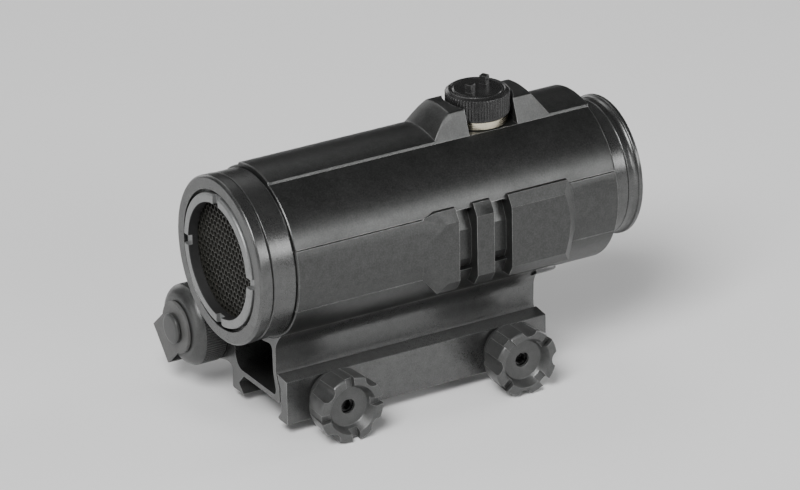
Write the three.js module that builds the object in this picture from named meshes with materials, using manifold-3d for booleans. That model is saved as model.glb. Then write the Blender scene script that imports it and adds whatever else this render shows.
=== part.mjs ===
// Compact rail-mounted sighting scope, built as an assembly of named parts.
// Millimetres. Origin: centre of the seat that rests on a 21.2 mm accessory rail's top.
// +X towards the clamp knobs, +Y from the objective to the eyepiece, +Z up.
import * as THREE from "three";
import { ConvexGeometry } from "three/addons/geometries/ConvexGeometry.js";
import { mergeVertices } from "three/addons/utils/BufferGeometryUtils.js";
import Module from "manifold-3d";

const wasm = await Module();
wasm.setup();

// ---- driving dimensions ----
const FINE = 32; // segments round a large circle
const COARSE = 20; // segments round a small or hidden one

// optical tube
const AXIS_Z = 37.1; // optical axis above the rail seat
const BODY_R = 21.9;
const BODY_BORE = 17.0;
const BODY_FRONT = -37.2;
const BODY_REAR = 54.5;
const LEDGE_X = 7.75; // half-width of the raised spine
const LEDGE_Z = AXIS_Z + 20.4;
const SPINE_R = 22.45;
const FLANK_SLOPE = Math.tan((20 * Math.PI) / 180); // spine and guard flanks lean in by 20 degrees

// turret guard on the spine
const TURRET_Y = 26.8;
const GUARD_R = 27.34; // the guard is a band turned about the tube's axis
const GUARD_TOP_Z = AXIS_Z + GUARD_R + 1;
const GUARD_SEGMENTS = 180;
// The band's outline as [radius, y]: a rounded ramp in front and a straight one behind.
const GUARD_OUTLINE = [
  [0, 7],
  [19.0, 7],
  [22.0, 9.6],
  [23.7, 11.1],
  [24.9, 12.25],
  [25.85, 13.2],
  [26.72, 14.3],
  [GUARD_R, 15.4],
  [GUARD_R, 38.9],
  [22.45, 43.0],
  [19.0, 45.9],
  [0, 45.9],
];
const POCKET_R = 8.9;
const POCKET_HALF = 7.0;
const POCKET_FLOOR_Z = 57.6;

// side panels, which carry the accessory rail on the left and the windage turret on the right
const PANEL_TOP = 7.65; // above the optical axis
const PANEL_BOTTOM = -8.75;
const PANEL_INNER_R = 18.3;
const LAND_X = 23.04;
const LAND_Z = [27.1, 43.05];
const BEVEL_OUT = 2.35;
const BEVEL_UP = 2.6;
const RAIL_FRONT = -2.1; // where the ramps meet the tube
const RAIL_REAR = 41.2;
const LAND_FRONT = 2.8; // the land's ends, at their middle, bow out by LAND_BOW
const LAND_REAR = 39.5;
const LAND_BOW = 1.25;
const RAMP_PEAK = 2.2;
const SLOT_PITCH = 10.01;
const SLOT_WIDTH = 5.23;
const FIRST_SLOT = 7.55;
const SLOT_COUNT = 2;
const SLOT_FLOOR_X = 19.6;

// turrets: heights above the optical axis, along each turret's own axis
const CAP_R = 8.1;
const CAP_BASE = 22.85;
const CAP_SHOULDER = 28.5;
const CAP_TOP = 29.3;
const POST_TOP = 31.4;
const POST_SIDE = 2.2;
const POST_OFFSET = 3.35;
const POST_TURN = (28 * Math.PI) / 180;
const COLLAR_R = 7.5;
const COLLAR_BASE = 20.7;
const COLLAR_THREAD_R = 6.6;
const COLLAR_TOP = 25.4;
const PLUNGER_TIP = 15.5;

// objective end
const FRONT_RING_R = 21.3;
const BEZEL_R = 21.5;
const BEZEL_FRONT = -47.4;
const BEZEL_REAR = -43.95;
const FILTER_FRONT = -47.9;
const FILTER_OUT_R = 17.2;
const FILTER_IN_R = 14.8;
const SCREEN_FRONT = -45.0;
const SCREEN_REAR = -42.9;

// inner tube, carried by the pivot ring
const INNER_R = 15.2;
const INNER_BORE = 14.2;
const INNER_FRONT = -33.8;
const INNER_REAR = 42.0;
const PIVOT_Y = -31.5;

// eyepiece end
const EYE_R = 17.6;
const EYE_SPLIT = 60.05;
const EYE_REAR = 64.1;
const FLANGE_R = 18.05;

// rail mount
const MOUNT_HALF = 37.2;
const SEAT_HALF = 7.95;
const HOOK_APEX = [-10.75, -2.8];
const HOOK_TIP = [-8.4, -5.2];
const HOOK_OUTER_X = -13.9;
const HOOK_BOTTOM_Z = -5.25;
const FLOOR_T = 1.3;
const SADDLE_R = BODY_R + 0.05;
const SADDLE_T = 1.2;
const SADDLE_X = 12.8; // half-width of the saddle
const SADDLE_REAR = 41.2;
const SADDLE_LIP_FRONT = 35.0; // the lip beyond the mount's rear end starts inside it
const SADDLE_LIP_T = 0.9;
const MOUNT_SCREW_Y = [-30, -10, 10, 30];
const MOUNT_SCREW_TIP = 19.0;
const MOUNT_SCREW_R = 1.4;
const MOUNT_SCREW_HOLE_R = 1.6;

// battery compartment, its cap and its tether
const CELL_X = -24.2;
const CELL_Z = 9.6;
const BOSS_R = 10.4;
const BOSS_REAR = 3.5;
const TURRET_BORE = 6.8;
const THREAD_BORE = 9.65;
const CELL_BORE = 8.9;
const THREAD_END = -31.5;
const TETHER_FRONT = -47.6;
const TETHER_T = 0.95;
const TETHER_ANGLE = (222 * Math.PI) / 180; // from +X towards +Z
const STRIP_AWAY = 12.1; // outer face of the folded-back strip, from the cell's axis
const STRIP_REAR = -14.5;
const ANCHOR_Y = -24.2;
const LUG_FACE = 11.0;
const CAP_TRAVEL = 6;
const BUTTON_Y = [-19, -9];
const BUTTON_Z = 12.6;
const BUTTON_R = 3.15;
const BUTTON_PAD_Z = [8.6, 16.6];
const BUTTON_PAD_X = -35.4;
const BUTTON_PAD_REACH = 6; // beyond each button's centre
const BUTTON_BACK = 34.7; // the buttons' inner and outer faces, leftwards from the optical axis
const BUTTON_FACE = 36.3;

// clamp
const STUD_Y = (5 * SLOT_PITCH) / 2;
const STUD_Z = 1.2;
const STUD_R = 2.4;
const CLAMP_X = 14.15;
const KNOB_BACK = 14.6;
const KNOB_BODY = 17.8;
const KNOB_RIM = 25.8;
const KNOB_R = 8.8;
const KNOB_DISH_R = 5.9;
const KNOB_FLOOR = 23.1;
const FLUTES = 4;
const FLUTE_R = 1.9;
const RIM_SLOT = 2.3; // width of the slots between the flutes

// ---- solids ----

// A closed three.js geometry as a manifold solid, its faces turned to point out.
function solid(geometry) {
  const bare = geometry.index ? geometry.toNonIndexed() : geometry.clone();
  bare.deleteAttribute("normal");
  bare.deleteAttribute("uv");
  const merged = mergeVertices(bare, 1e-4);
  const points = merged.attributes.position.array;
  const triangles = new Uint32Array(merged.index.array);
  if (signedVolume(points, triangles) < 0) {
    for (let i = 0; i < triangles.length; i += 3) {
      [triangles[i + 1], triangles[i + 2]] = [triangles[i + 2], triangles[i + 1]];
    }
  }
  return new wasm.Manifold(
    new wasm.Mesh({ numProp: 3, vertProperties: points, triVerts: triangles }),
  );
}

function signedVolume(points, triangles) {
  const [a, b, c] = [new THREE.Vector3(), new THREE.Vector3(), new THREE.Vector3()];
  let sum = 0;
  for (let i = 0; i < triangles.length; i += 3) {
    a.fromArray(points, 3 * triangles[i]);
    b.fromArray(points, 3 * triangles[i + 1]);
    c.fromArray(points, 3 * triangles[i + 2]);
    sum += a.dot(b.cross(c));
  }
  return sum;
}

function geometryOf(manifold) {
  const mesh = manifold.getMesh();
  const geometry = new THREE.BufferGeometry();
  geometry.setAttribute("position", new THREE.BufferAttribute(mesh.vertProperties, 3));
  geometry.setIndex(new THREE.BufferAttribute(mesh.triVerts, 1));
  return geometry;
}

// A closed profile of [radius, height] points turned about an axis through `at`.
const TURN = {
  x: (g) => g.rotateZ(-Math.PI / 2),
  "-x": (g) => g.rotateZ(Math.PI / 2),
  y: (g) => g,
  "-y": (g) => g.rotateX(Math.PI),
  z: (g) => g.rotateX(Math.PI / 2),
  tether: (g) => g.rotateZ(-Math.PI / 2).rotateY(-TETHER_ANGLE),
};

function turned(profile, axis, at, segments = FINE) {
  const closes = profile[0][0] > 0 || profile.at(-1)[0] > 0;
  const outline = closes ? [...profile, profile[0]] : profile;
  const geometry = new THREE.LatheGeometry(
    outline.map(([r, h]) => new THREE.Vector2(r, h)),
    segments,
  );
  return solid(TURN[axis](geometry).translate(...at));
}

function rod(radius, low, high, axis, at, segments = COARSE) {
  const profile = [[0, low], [radius, low], [radius, high], [0, high]];
  return turned(profile, axis, at, segments);
}

function pipe(inner, outer, low, high, axis, at, segments = FINE) {
  const profile = [[inner, low], [outer, low], [outer, high], [inner, high]];
  return turned(profile, axis, at, segments);
}

function block([x0, x1], [y0, y1], [z0, z1]) {
  const geometry = new THREE.BoxGeometry(x1 - x0, y1 - y0, z1 - z0);
  return solid(geometry.translate((x0 + x1) / 2, (y0 + y1) / 2, (z0 + z1) / 2));
}

// A shape drawn in X and Z, extruded along Y.
function alongY(shape, y0, y1, curveSegments = 12) {
  const options = { depth: y1 - y0, bevelEnabled: false, curveSegments };
  const geometry = new THREE.ExtrudeGeometry(shape, options);
  return solid(geometry.rotateX(Math.PI / 2).translate(0, y1, 0));
}

// A shape drawn in Y and Z, extruded along X.
const YZ_TO_X = new THREE.Matrix4().set(0, 0, 1, 0, 1, 0, 0, 0, 0, 1, 0, 0, 0, 0, 0, 1);

function alongX(shape, x0, x1, curveSegments = 12) {
  const options = { depth: x1 - x0, bevelEnabled: false, curveSegments };
  const geometry = new THREE.ExtrudeGeometry(shape, options);
  return solid(geometry.applyMatrix4(YZ_TO_X).translate(x0, 0, 0));
}

function polygon(points) {
  return new THREE.Shape(points.map(([a, b]) => new THREE.Vector2(a, b)));
}

function helix(radius, low, high, turns, wire) {
  const curve = new THREE.Curve();
  curve.getPoint = (t) => {
    const angle = 2 * Math.PI * turns * t;
    return new THREE.Vector3(
      radius * Math.cos(angle),
      low + (high - low) * t,
      radius * Math.sin(angle),
    );
  };
  const section = new THREE.Shape().absarc(0, 0, wire, 0, 2 * Math.PI);
  const steps = Math.round(turns * 12);
  const options = { steps, extrudePath: curve, bevelEnabled: false, curveSegments: 3 };
  return new THREE.ExtrudeGeometry(section, options);
}

const TUBE_AT = [0, 0, AXIS_Z];
const tubeRing = (inner, outer, low, high, segments = COARSE) =>
  pipe(inner, outer, low, high, "y", TUBE_AT, segments);

// ---- optical tube ----

// The raised spine or guard section: flanks that lean in from the ledge, and a crowned top.
function flanked(topZ, crown, y0, y1) {
  const topX = LEDGE_X - (topZ - LEDGE_Z) * FLANK_SLOPE;
  const low = AXIS_Z + BODY_BORE + 1;
  const lowX = LEDGE_X + (LEDGE_Z - low) * FLANK_SLOPE;
  const shape = new THREE.Shape();
  shape.moveTo(-lowX, low);
  shape.lineTo(lowX, low);
  shape.lineTo(topX, topZ);
  shape.quadraticCurveTo(0, topZ + 2 * crown, -topX, topZ);
  shape.closePath();
  return alongY(shape, y0, y1, 8);
}

function turretGuard() {
  const band = turned(GUARD_OUTLINE, "y", TUBE_AT, GUARD_SEGMENTS);
  const [low, high] = [GUARD_OUTLINE[0][1], GUARD_OUTLINE.at(-1)[1]];
  return flanked(GUARD_TOP_Z, 0, low - 1, high + 1).intersect(band);
}

function turretPocket() {
  const round = rod(POCKET_R, POCKET_FLOOR_Z, GUARD_TOP_Z + 5, "z", [0, TURRET_Y, 0], FINE);
  const through = block(
    [-LEDGE_X - 3, LEDGE_X + 3],
    [TURRET_Y - POCKET_HALF, TURRET_Y + POCKET_HALF],
    [POCKET_FLOOR_Z, GUARD_TOP_Z + 5],
  );
  return round.add(through);
}

function panelRecess(sign) {
  const reach = [sign * 5, sign * (BODY_R + 5)].sort((a, b) => a - b);
  const zone = block(
    reach,
    [BODY_FRONT - 1, BODY_REAR + 1],
    [AXIS_Z + PANEL_BOTTOM - 0.1, AXIS_Z + PANEL_TOP + 0.1],
  );
  return zone.subtract(rod(PANEL_INNER_R - 0.1, -100, 100, "y", TUBE_AT, FINE));
}

function mainHousing() {
  const tube = turned(
    [
      [BODY_BORE, BODY_FRONT],
      [BODY_R - 0.3, BODY_FRONT],
      [BODY_R, BODY_FRONT + 0.3],
      [BODY_R, BODY_REAR - 0.5],
      [BODY_R - 0.5, BODY_REAR],
      [BODY_BORE, BODY_REAR],
    ],
    "y",
    TUBE_AT,
  );
  const spineTopZ = AXIS_Z + Math.sqrt(SPINE_R ** 2 - (LEDGE_X - 0.2) ** 2);
  const crown = SPINE_R + AXIS_Z - spineTopZ;
  let body = tube.add(flanked(spineTopZ, crown, BODY_FRONT, BODY_REAR)).add(turretGuard());
  body = body.subtract(turretPocket());
  body = body.subtract(rod(TURRET_BORE, AXIS_Z, LEDGE_Z + 9, "z", [0, TURRET_Y, 0]));
  body = body.subtract(rod(TURRET_BORE, 10, BODY_R + 9, "-x", [0, TURRET_Y, AXIS_Z]));
  for (const sign of [1, -1]) body = body.subtract(panelRecess(sign));
  for (const y of MOUNT_SCREW_Y) {
    body = body.subtract(rod(MOUNT_SCREW_HOLE_R, 10, MOUNT_SCREW_TIP + 0.4, "z", [0, y, 0], 16));
  }
  return body;
}

// The curved plate common to both side panels.
function panelPlate(sign) {
  const reach = [sign * 5, sign * (BODY_R + 5)].sort((a, b) => a - b);
  const zone = block(
    reach,
    [BODY_FRONT, BODY_REAR],
    [AXIS_Z + PANEL_BOTTOM + 0.1, AXIS_Z + PANEL_TOP - 0.1],
  );
  const plate = turned(
    [
      [PANEL_INNER_R + 0.1, BODY_FRONT],
      [BODY_R - 0.3, BODY_FRONT],
      [BODY_R, BODY_FRONT + 0.3],
      [BODY_R, BODY_REAR - 0.5],
      [BODY_R - 0.5, BODY_REAR],
      [PANEL_INNER_R + 0.1, BODY_REAR],
    ],
    "y",
    TUBE_AT,
  );
  return plate.intersect(zone);
}

// The accessory rail: a flat land with sloping sides, whose ends run out onto the tube.
function sideRail() {
  const [low, high] = LAND_Z;
  const middle = (low + high) / 2;
  const rootX = LAND_X - BEVEL_OUT;
  const outline = [
    [LAND_X, LAND_FRONT + LAND_BOW, high],
    [LAND_X, LAND_FRONT, middle],
    [LAND_X, LAND_FRONT + LAND_BOW, low],
    [LAND_X, LAND_REAR - LAND_BOW, high],
    [LAND_X, LAND_REAR, middle],
    [LAND_X, LAND_REAR - LAND_BOW, low],
    [rootX, RAMP_PEAK, high + BEVEL_UP],
    [rootX, RAMP_PEAK, low - BEVEL_UP],
    [rootX, RAIL_REAR - 1.3, high + BEVEL_UP],
    [rootX, RAIL_REAR - 1.3, low - BEVEL_UP],
    [BODY_R - 1.4, RAIL_FRONT + 0.7, AXIS_Z + PANEL_TOP],
    [BODY_R - 0.1, RAIL_FRONT, AXIS_Z],
    [BODY_R - 1.6, RAIL_FRONT + 0.4, AXIS_Z + PANEL_BOTTOM],
    [BODY_R - 1.4, RAIL_REAR, AXIS_Z + PANEL_TOP - 0.5],
    [BODY_R - 0.5, RAIL_REAR + 0.5, middle],
    [BODY_R - 1.6, RAIL_REAR + 0.3, AXIS_Z + PANEL_BOTTOM + 0.5],
  ];
  for (const z of [low - BEVEL_UP, high + BEVEL_UP]) {
    outline.push([rootX - 4, RAMP_PEAK, z]);
    outline.push([rootX - 4, RAIL_REAR - 1.3, z]);
  }
  const hull = solid(new ConvexGeometry(outline.map((point) => new THREE.Vector3(...point))));
  const beyondPanel = rod(BODY_R + 0.05, -100, 100, "y", TUBE_AT, FINE).subtract(
    block([0, 30], [-60, 60], [AXIS_Z + PANEL_BOTTOM + 0.1, AXIS_Z + PANEL_TOP - 0.1]),
  );
  const insideWall = rod(PANEL_INNER_R + 0.1, -100, 100, "y", TUBE_AT, FINE);
  let rail = panelPlate(1).add(hull.subtract(beyondPanel).subtract(insideWall));
  for (let i = 0; i < SLOT_COUNT; i++) {
    const y = FIRST_SLOT + i * SLOT_PITCH;
    const slot = polygon([
      [LAND_X + 3, low - 5],
      [LAND_X + 3, high + 5],
      [SLOT_FLOOR_X - 1.3, high + 5],
      [SLOT_FLOOR_X - 1.0, high],
      [SLOT_FLOOR_X, middle + 4],
      [SLOT_FLOOR_X, middle - 4],
      [SLOT_FLOOR_X - 1.0, low],
      [SLOT_FLOOR_X - 1.3, low - 5],
    ]);
    rail = rail.subtract(alongY(slot, y, y + SLOT_WIDTH));
  }
  return rail;
}

function windagePanel() {
  const at = [0, TURRET_Y, AXIS_Z];
  const boss = turned(
    [[0, 19], [9.6, 19], [9.6, BODY_R + 0.1], [8.9, COLLAR_BASE + 1.4], [0, COLLAR_BASE + 1.4]],
    "-x",
    at,
    FINE,
  ).intersect(block([-30, 0], [0, 60], [AXIS_Z - 7.5, AXIS_Z + 7.5]));
  const seat = rod(COLLAR_R + 0.3, COLLAR_BASE - 0.1, 30, "-x", at);
  const hole = rod(6.8, 10, 30, "-x", at);
  return panelPlate(-1).add(boss).subtract(seat).subtract(hole);
}

// ---- objective end ----

function frontRing() {
  const profile = [
    [16.8, -43.7],
    [FRONT_RING_R, -43.7],
    [FRONT_RING_R, -37.9],
    [20.6, -37.9],
    [20.6, -37.25],
    [16.9, -37.25],
    [16.9, -35.2],
    [15.4, -35.2],
    [15.4, -41.2],
    [16.8, -41.2],
  ];
  return turned(profile, "y", TUBE_AT);
}

function objectiveBezel() {
  const profile = [
    [16.7, BEZEL_REAR],
    [BEZEL_R - 0.2, BEZEL_REAR],
    [BEZEL_R, BEZEL_REAR - 0.3],
    [BEZEL_R, BEZEL_FRONT + 0.6],
    [BEZEL_R - 0.6, BEZEL_FRONT],
    [18.05, BEZEL_FRONT],
    [18.05, -45.3],
    [16.7, -45.3],
  ];
  return turned(profile, "y", TUBE_AT);
}

function filterRing() {
  const profile = [
    [FILTER_IN_R, FILTER_FRONT],
    [FILTER_OUT_R, FILTER_FRONT],
    [FILTER_OUT_R, -45.5],
    [16.4, -45.5],
    [16.4, -42.6],
    [15.75, -42.6],
    [15.75, SCREEN_FRONT - 0.15],
    [FILTER_IN_R, SCREEN_FRONT - 0.15],
  ];
  let ring = turned(profile, "y", TUBE_AT);
  for (let i = 0; i < 4; i++) {
    const notch = new THREE.BoxGeometry(4, 1.2, 2.6).translate(FILTER_OUT_R - 0.6, 0, 0);
    notch.rotateY((i * Math.PI) / 2).translate(0, FILTER_FRONT + 0.5, AXIS_Z);
    ring = ring.subtract(solid(notch));
  }
  return ring;
}

// ---- turrets ----
// Each profile runs outwards along the turret's own axis, from the optical axis.

function turretCap(axis, at) {
  const profile = [
    [7.0, CAP_BASE],
    [CAP_R - 0.3, CAP_BASE],
    [CAP_R, CAP_BASE + 0.3],
    [CAP_R, CAP_SHOULDER - 0.2],
    [CAP_R - 0.5, CAP_SHOULDER + 0.3],
    [6.1, CAP_TOP],
    [0, CAP_TOP],
    [0, COLLAR_TOP + 1.2],
    [7.0, COLLAR_TOP + 1.2],
  ];
  let cap = turned(profile, axis, at, 24);
  for (const side of [1, -1]) {
    const post = new THREE.BoxGeometry(POST_SIDE, POST_TOP - CAP_TOP + 1, POST_SIDE);
    post.translate(0, (POST_TOP + CAP_TOP - 1) / 2, side * POST_OFFSET).rotateY(POST_TURN);
    cap = cap.add(solid(TURN[axis](post).translate(...at)));
  }
  return cap;
}

function turretCollar(axis, at) {
  const profile = [
    [5.2, 17.6],
    [6.5, 17.6],
    [6.5, COLLAR_BASE],
    [COLLAR_R, COLLAR_BASE],
    [COLLAR_R, CAP_BASE - 0.15],
    [COLLAR_THREAD_R, CAP_BASE - 0.15],
    [COLLAR_THREAD_R, COLLAR_TOP],
    [5.2, COLLAR_TOP],
    [5.2, 23.5],
    [3.0, 23.5],
    [3.0, 19.0],
    [5.2, 19.0],
  ];
  return turned(profile, axis, at, COARSE);
}

function turretDial(axis, at) {
  const profile = [
    [1.35, 18.0],
    [2.7, 18.0],
    [2.7, 23.8],
    [4.9, 23.8],
    [4.9, COLLAR_TOP],
    [0, COLLAR_TOP],
    [0, 22.5],
    [1.35, 22.5],
  ];
  const slotBox = new THREE.BoxGeometry(12, 1, 1.2).translate(0, COLLAR_TOP, 0);
  const slot = solid(TURN[axis](slotBox).translate(...at));
  return turned(profile, axis, at, 16).subtract(slot);
}

const turretPlunger = (axis, at) => rod(1.1, PLUNGER_TIP, 21.2, axis, at, 12);
const turretSeal = (axis, at) => pipe(5.3, 6.5, COLLAR_TOP + 0.2, COLLAR_TOP + 1.0, axis, at, 24);

// ---- rail mount ----

function mountProfile() {
  const shape = new THREE.Shape();
  shape.moveTo(...saddlePoint(SADDLE_X));
  shape.quadraticCurveTo(9.1, 16.4, 8.9, 13.6);
  shape.lineTo(8.7, 7.7);
  shape.lineTo(10.35, 4.2);
  shape.lineTo(10.35, 0);
  shape.lineTo(-SEAT_HALF, 0);
  shape.lineTo(...HOOK_APEX);
  shape.lineTo(...HOOK_TIP);
  shape.lineTo(HOOK_TIP[0] - 0.4, HOOK_BOTTOM_Z);
  shape.lineTo(HOOK_OUTER_X + 0.4, HOOK_BOTTOM_Z);
  shape.lineTo(HOOK_OUTER_X, HOOK_BOTTOM_Z + 0.4);
  shape.lineTo(HOOK_OUTER_X, 14.6);
  shape.quadraticCurveTo(HOOK_OUTER_X, 18.0, ...saddlePoint(-SADDLE_X));
  const edge = Math.asin(SADDLE_X / SADDLE_R);
  shape.absarc(0, AXIS_Z, SADDLE_R, -Math.PI / 2 - edge, -Math.PI / 2 + edge, false);
  return shape;
}

function saddlePoint(x) {
  return [x, AXIS_Z - Math.sqrt(SADDLE_R ** 2 - x ** 2)];
}

// The open channel through the mount, under a roof that follows the tube.
function channelProfile() {
  const roofR = SADDLE_R + SADDLE_T;
  const shape = new THREE.Shape();
  shape.moveTo(-9.0, FLOOR_T);
  shape.lineTo(7.0, FLOOR_T);
  shape.quadraticCurveTo(8.4, FLOOR_T, 8.3, 3.1);
  shape.lineTo(7.2, 7.3);
  shape.lineTo(6.9, 13.0);
  shape.quadraticCurveTo(6.6, 14.6, 5.0, AXIS_Z - Math.sqrt(roofR ** 2 - 25));
  shape.quadraticCurveTo(0, AXIS_Z - roofR - 0.55, -6.5, AXIS_Z - Math.sqrt(roofR ** 2 - 42.25));
  shape.quadraticCurveTo(-12.1, 14.6, -12.1, 10.0);
  shape.lineTo(-12.1, 5.0);
  shape.quadraticCurveTo(-11.6, 1.6, -9.0, FLOOR_T);
  return shape;
}

function bossWeb() {
  const shape = new THREE.Shape();
  shape.moveTo(-12.6, -1.2);
  shape.lineTo(-13.9, -0.6);
  shape.quadraticCurveTo(-14.0, 1.15, -16.4, 0.95);
  shape.quadraticCurveTo(-18.0, 0.8, -20.0, 0.1);
  shape.lineTo(-24.0, 8);
  shape.lineTo(-20.0, 18.6);
  shape.quadraticCurveTo(-15.5, 16.4, -12.6, 17.0);
  return alongY(shape, BODY_FRONT, BOSS_REAR, 6);
}

function mountBase() {
  const cell = [CELL_X, 0, CELL_Z];
  const lip = pipe(SADDLE_R, SADDLE_R + SADDLE_LIP_T, SADDLE_LIP_FRONT, SADDLE_REAR, "y", TUBE_AT);
  const saddle = lip.intersect(block([-SADDLE_X, SADDLE_X], [-60, 60], [0, AXIS_Z]));
  let base = alongY(mountProfile(), -MOUNT_HALF, MOUNT_HALF, 16).add(saddle);
  base = base.add(bossWeb()).add(rod(BOSS_R, BODY_FRONT, BOSS_REAR, "y", cell, FINE));
  const padY = [BUTTON_Y[0] - BUTTON_PAD_REACH, BUTTON_Y[1] + BUTTON_PAD_REACH];
  base = base.add(block([BUTTON_PAD_X, CELL_X - 5.8], padY, BUTTON_PAD_Z));
  base = base.add(tetherLug());
  base = base.subtract(rod(SADDLE_R, -60, 60, "y", TUBE_AT, FINE));
  base = base.subtract(alongY(channelProfile(), -60, 60, 8));
  base = base.subtract(rod(THREAD_BORE, BODY_FRONT - 1, THREAD_END, "y", cell, FINE));
  base = base.subtract(rod(CELL_BORE, THREAD_END - 1, BOSS_REAR + 1, "y", cell, FINE));
  for (const y of [-STUD_Y, STUD_Y]) {
    base = base.subtract(rod(STUD_R + 0.2, -13.4, 30, "x", [0, y, STUD_Z]));
  }
  for (const y of MOUNT_SCREW_Y) {
    base = base.subtract(rod(MOUNT_SCREW_HOLE_R, 12, 20, "z", [0, y, 0], 16));
  }
  for (const y of BUTTON_Y) {
    base = base.subtract(rod(BUTTON_R + 0.25, BUTTON_BACK - 0.8, 40, "-x", [0, y, BUTTON_Z]));
  }
  base = base.subtract(rod(1.3, CELL_BORE - 1, 14, "tether", [CELL_X, ANCHOR_Y, CELL_Z], 12));
  return base;
}

// The flat on the compartment that the tether's anchor screw is driven into.
function tetherLug() {
  const lug = new THREE.BoxGeometry(1.6, 6, 9).translate(LUG_FACE - 0.8, ANCHOR_Y, 0);
  return solid(lug.rotateY(-TETHER_ANGLE).translate(CELL_X, 0, CELL_Z));
}

function mountScrew(y) {
  const profile = [
    [0, 11.5],
    [2.2, 11.5],
    [2.6, 12.0],
    [2.6, 13.05],
    [MOUNT_SCREW_R, 13.05],
    [MOUNT_SCREW_R, MOUNT_SCREW_TIP],
    [0, MOUNT_SCREW_TIP],
  ];
  const socket = rod(1.2, 11, 12.4, "z", [0, y, 0], 6);
  return turned(profile, "z", [0, y, 0], 16).subtract(socket);
}

// ---- clamp ----

function clampPlate() {
  const shape = polygon([
    [9.4, 7.55],
    [CLAMP_X, 7.05],
    [CLAMP_X, -4.6],
    [9.65, -4.6],
    [9.3, -4.2],
    [11.0, -2.35],
    [11.0, 4.2],
  ]);
  let plate = alongY(shape, -MOUNT_HALF, MOUNT_HALF + 0.25);
  for (const y of [-STUD_Y, STUD_Y]) {
    plate = plate.subtract(rod(STUD_R + 0.3, 5, 20, "x", [0, y, STUD_Z]));
    plate = plate.subtract(rod(4.0, 5, 12.6, "x", [0, y, STUD_Z]));
  }
  return plate;
}

function clampStud(y) {
  const socket = rod(1.3, 20.4, 23, "x", [0, y, STUD_Z], 6);
  return rod(STUD_R, -13.1, 22.0, "x", [0, y, STUD_Z]).subtract(socket);
}

function clampKnob(y, phase) {
  const at = [0, y, STUD_Z];
  const profile = [
    [STUD_R + 0.2, KNOB_BACK],
    [6.2, KNOB_BACK],
    [6.6, KNOB_BODY - 0.6],
    [KNOB_R - 0.8, KNOB_BODY],
    [KNOB_R - 0.4, KNOB_BODY + 0.6],
    [KNOB_R, KNOB_RIM - 0.5],
    [KNOB_R - 0.4, KNOB_RIM],
    [KNOB_DISH_R, KNOB_RIM],
    [KNOB_DISH_R - 0.3, KNOB_FLOOR + 0.4],
    [1.8, KNOB_FLOOR],
    [1.8, 22.3],
    [STUD_R + 0.2, 22.3],
  ];
  let knob = turned(profile, "x", at, 32);
  for (let i = 0; i < FLUTES; i++) {
    const angle = phase + (i * 2 * Math.PI) / FLUTES;
    const slotAngle = angle + Math.PI / FLUTES;
    const away = KNOB_R + 0.3;
    const flute = [0, y + away * Math.cos(angle), STUD_Z + away * Math.sin(angle)];
    knob = knob.subtract(rod(FLUTE_R, KNOB_BACK, KNOB_RIM + 1, "x", flute, 12));
    const slot = new THREE.BoxGeometry(3.4, 6, RIM_SLOT).translate(KNOB_RIM, 8, 0);
    slot.rotateX(slotAngle).translate(0, y, STUD_Z);
    knob = knob.subtract(solid(slot));
  }
  return knob;
}

// ---- battery cap ----

function batteryCap() {
  const profile = [
    [0, -46.5],
    [7.6, -46.5],
    [9.2, -46.0],
    [10.1, -44.9],
    [BOSS_R, -43.4],
    [BOSS_R, -38.6],
    [9.9, -38.0],
    [9.4, -38.0],
    [9.4, THREAD_END - 0.6],
    [8.7, THREAD_END - 0.6],
    [8.7, -43.4],
    [0, -43.4],
  ];
  return turned(profile, "y", [CELL_X, 0, CELL_Z]).subtract(
    rod(1.7, -48, -45.0, "y", [CELL_X, 0, CELL_Z], 16),
  );
}

function capStud() {
  const profile = [
    [0, -49.1],
    [3.5, -49.1],
    [3.95, -48.8],
    [3.95, -48.1],
    [3.4, -47.75],
    [1.4, -47.75],
    [1.4, -45.3],
    [0, -45.3],
  ];
  return turned(profile, "y", [CELL_X, 0, CELL_Z], 20);
}

// The cap's tether: a disc under the stud, a tongue, and a strip folded back along the compartment.
function tether() {
  const disc = pipe(1.8, 6.75, TETHER_FRONT, TETHER_FRONT + TETHER_T, "y", [0, 0, 0]);
  const tongue = block([2.5, STRIP_AWAY], [TETHER_FRONT, TETHER_FRONT + TETHER_T], [-5.6, 5.6]);
  const strip = block([STRIP_AWAY - TETHER_T, STRIP_AWAY], [TETHER_FRONT, STRIP_REAR], [-5.0, 5.0]);
  const slotEnds = [ANCHOR_Y - 1.5, ANCHOR_Y + 1.5 + CAP_TRAVEL];
  const slot = block([STRIP_AWAY - 3, STRIP_AWAY + 3], slotEnds, [-1.5, 1.5]);
  return disc.add(tongue).add(strip).subtract(slot);
}

function tetherScrew() {
  const profile = [
    [0, LUG_FACE - 1.9],
    [1.0, LUG_FACE - 1.9],
    [1.0, STRIP_AWAY + 0.1],
    [2.3, STRIP_AWAY + 0.1],
    [2.1, STRIP_AWAY + 1.0],
    [0, STRIP_AWAY + 1.2],
  ];
  const socket = rod(0.8, STRIP_AWAY + 0.3, 20, "x", [0, ANCHOR_Y, 0], 6);
  return turned(profile, "x", [0, ANCHOR_Y, 0], 16).subtract(socket);
}

// ---- assembly ----

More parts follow.
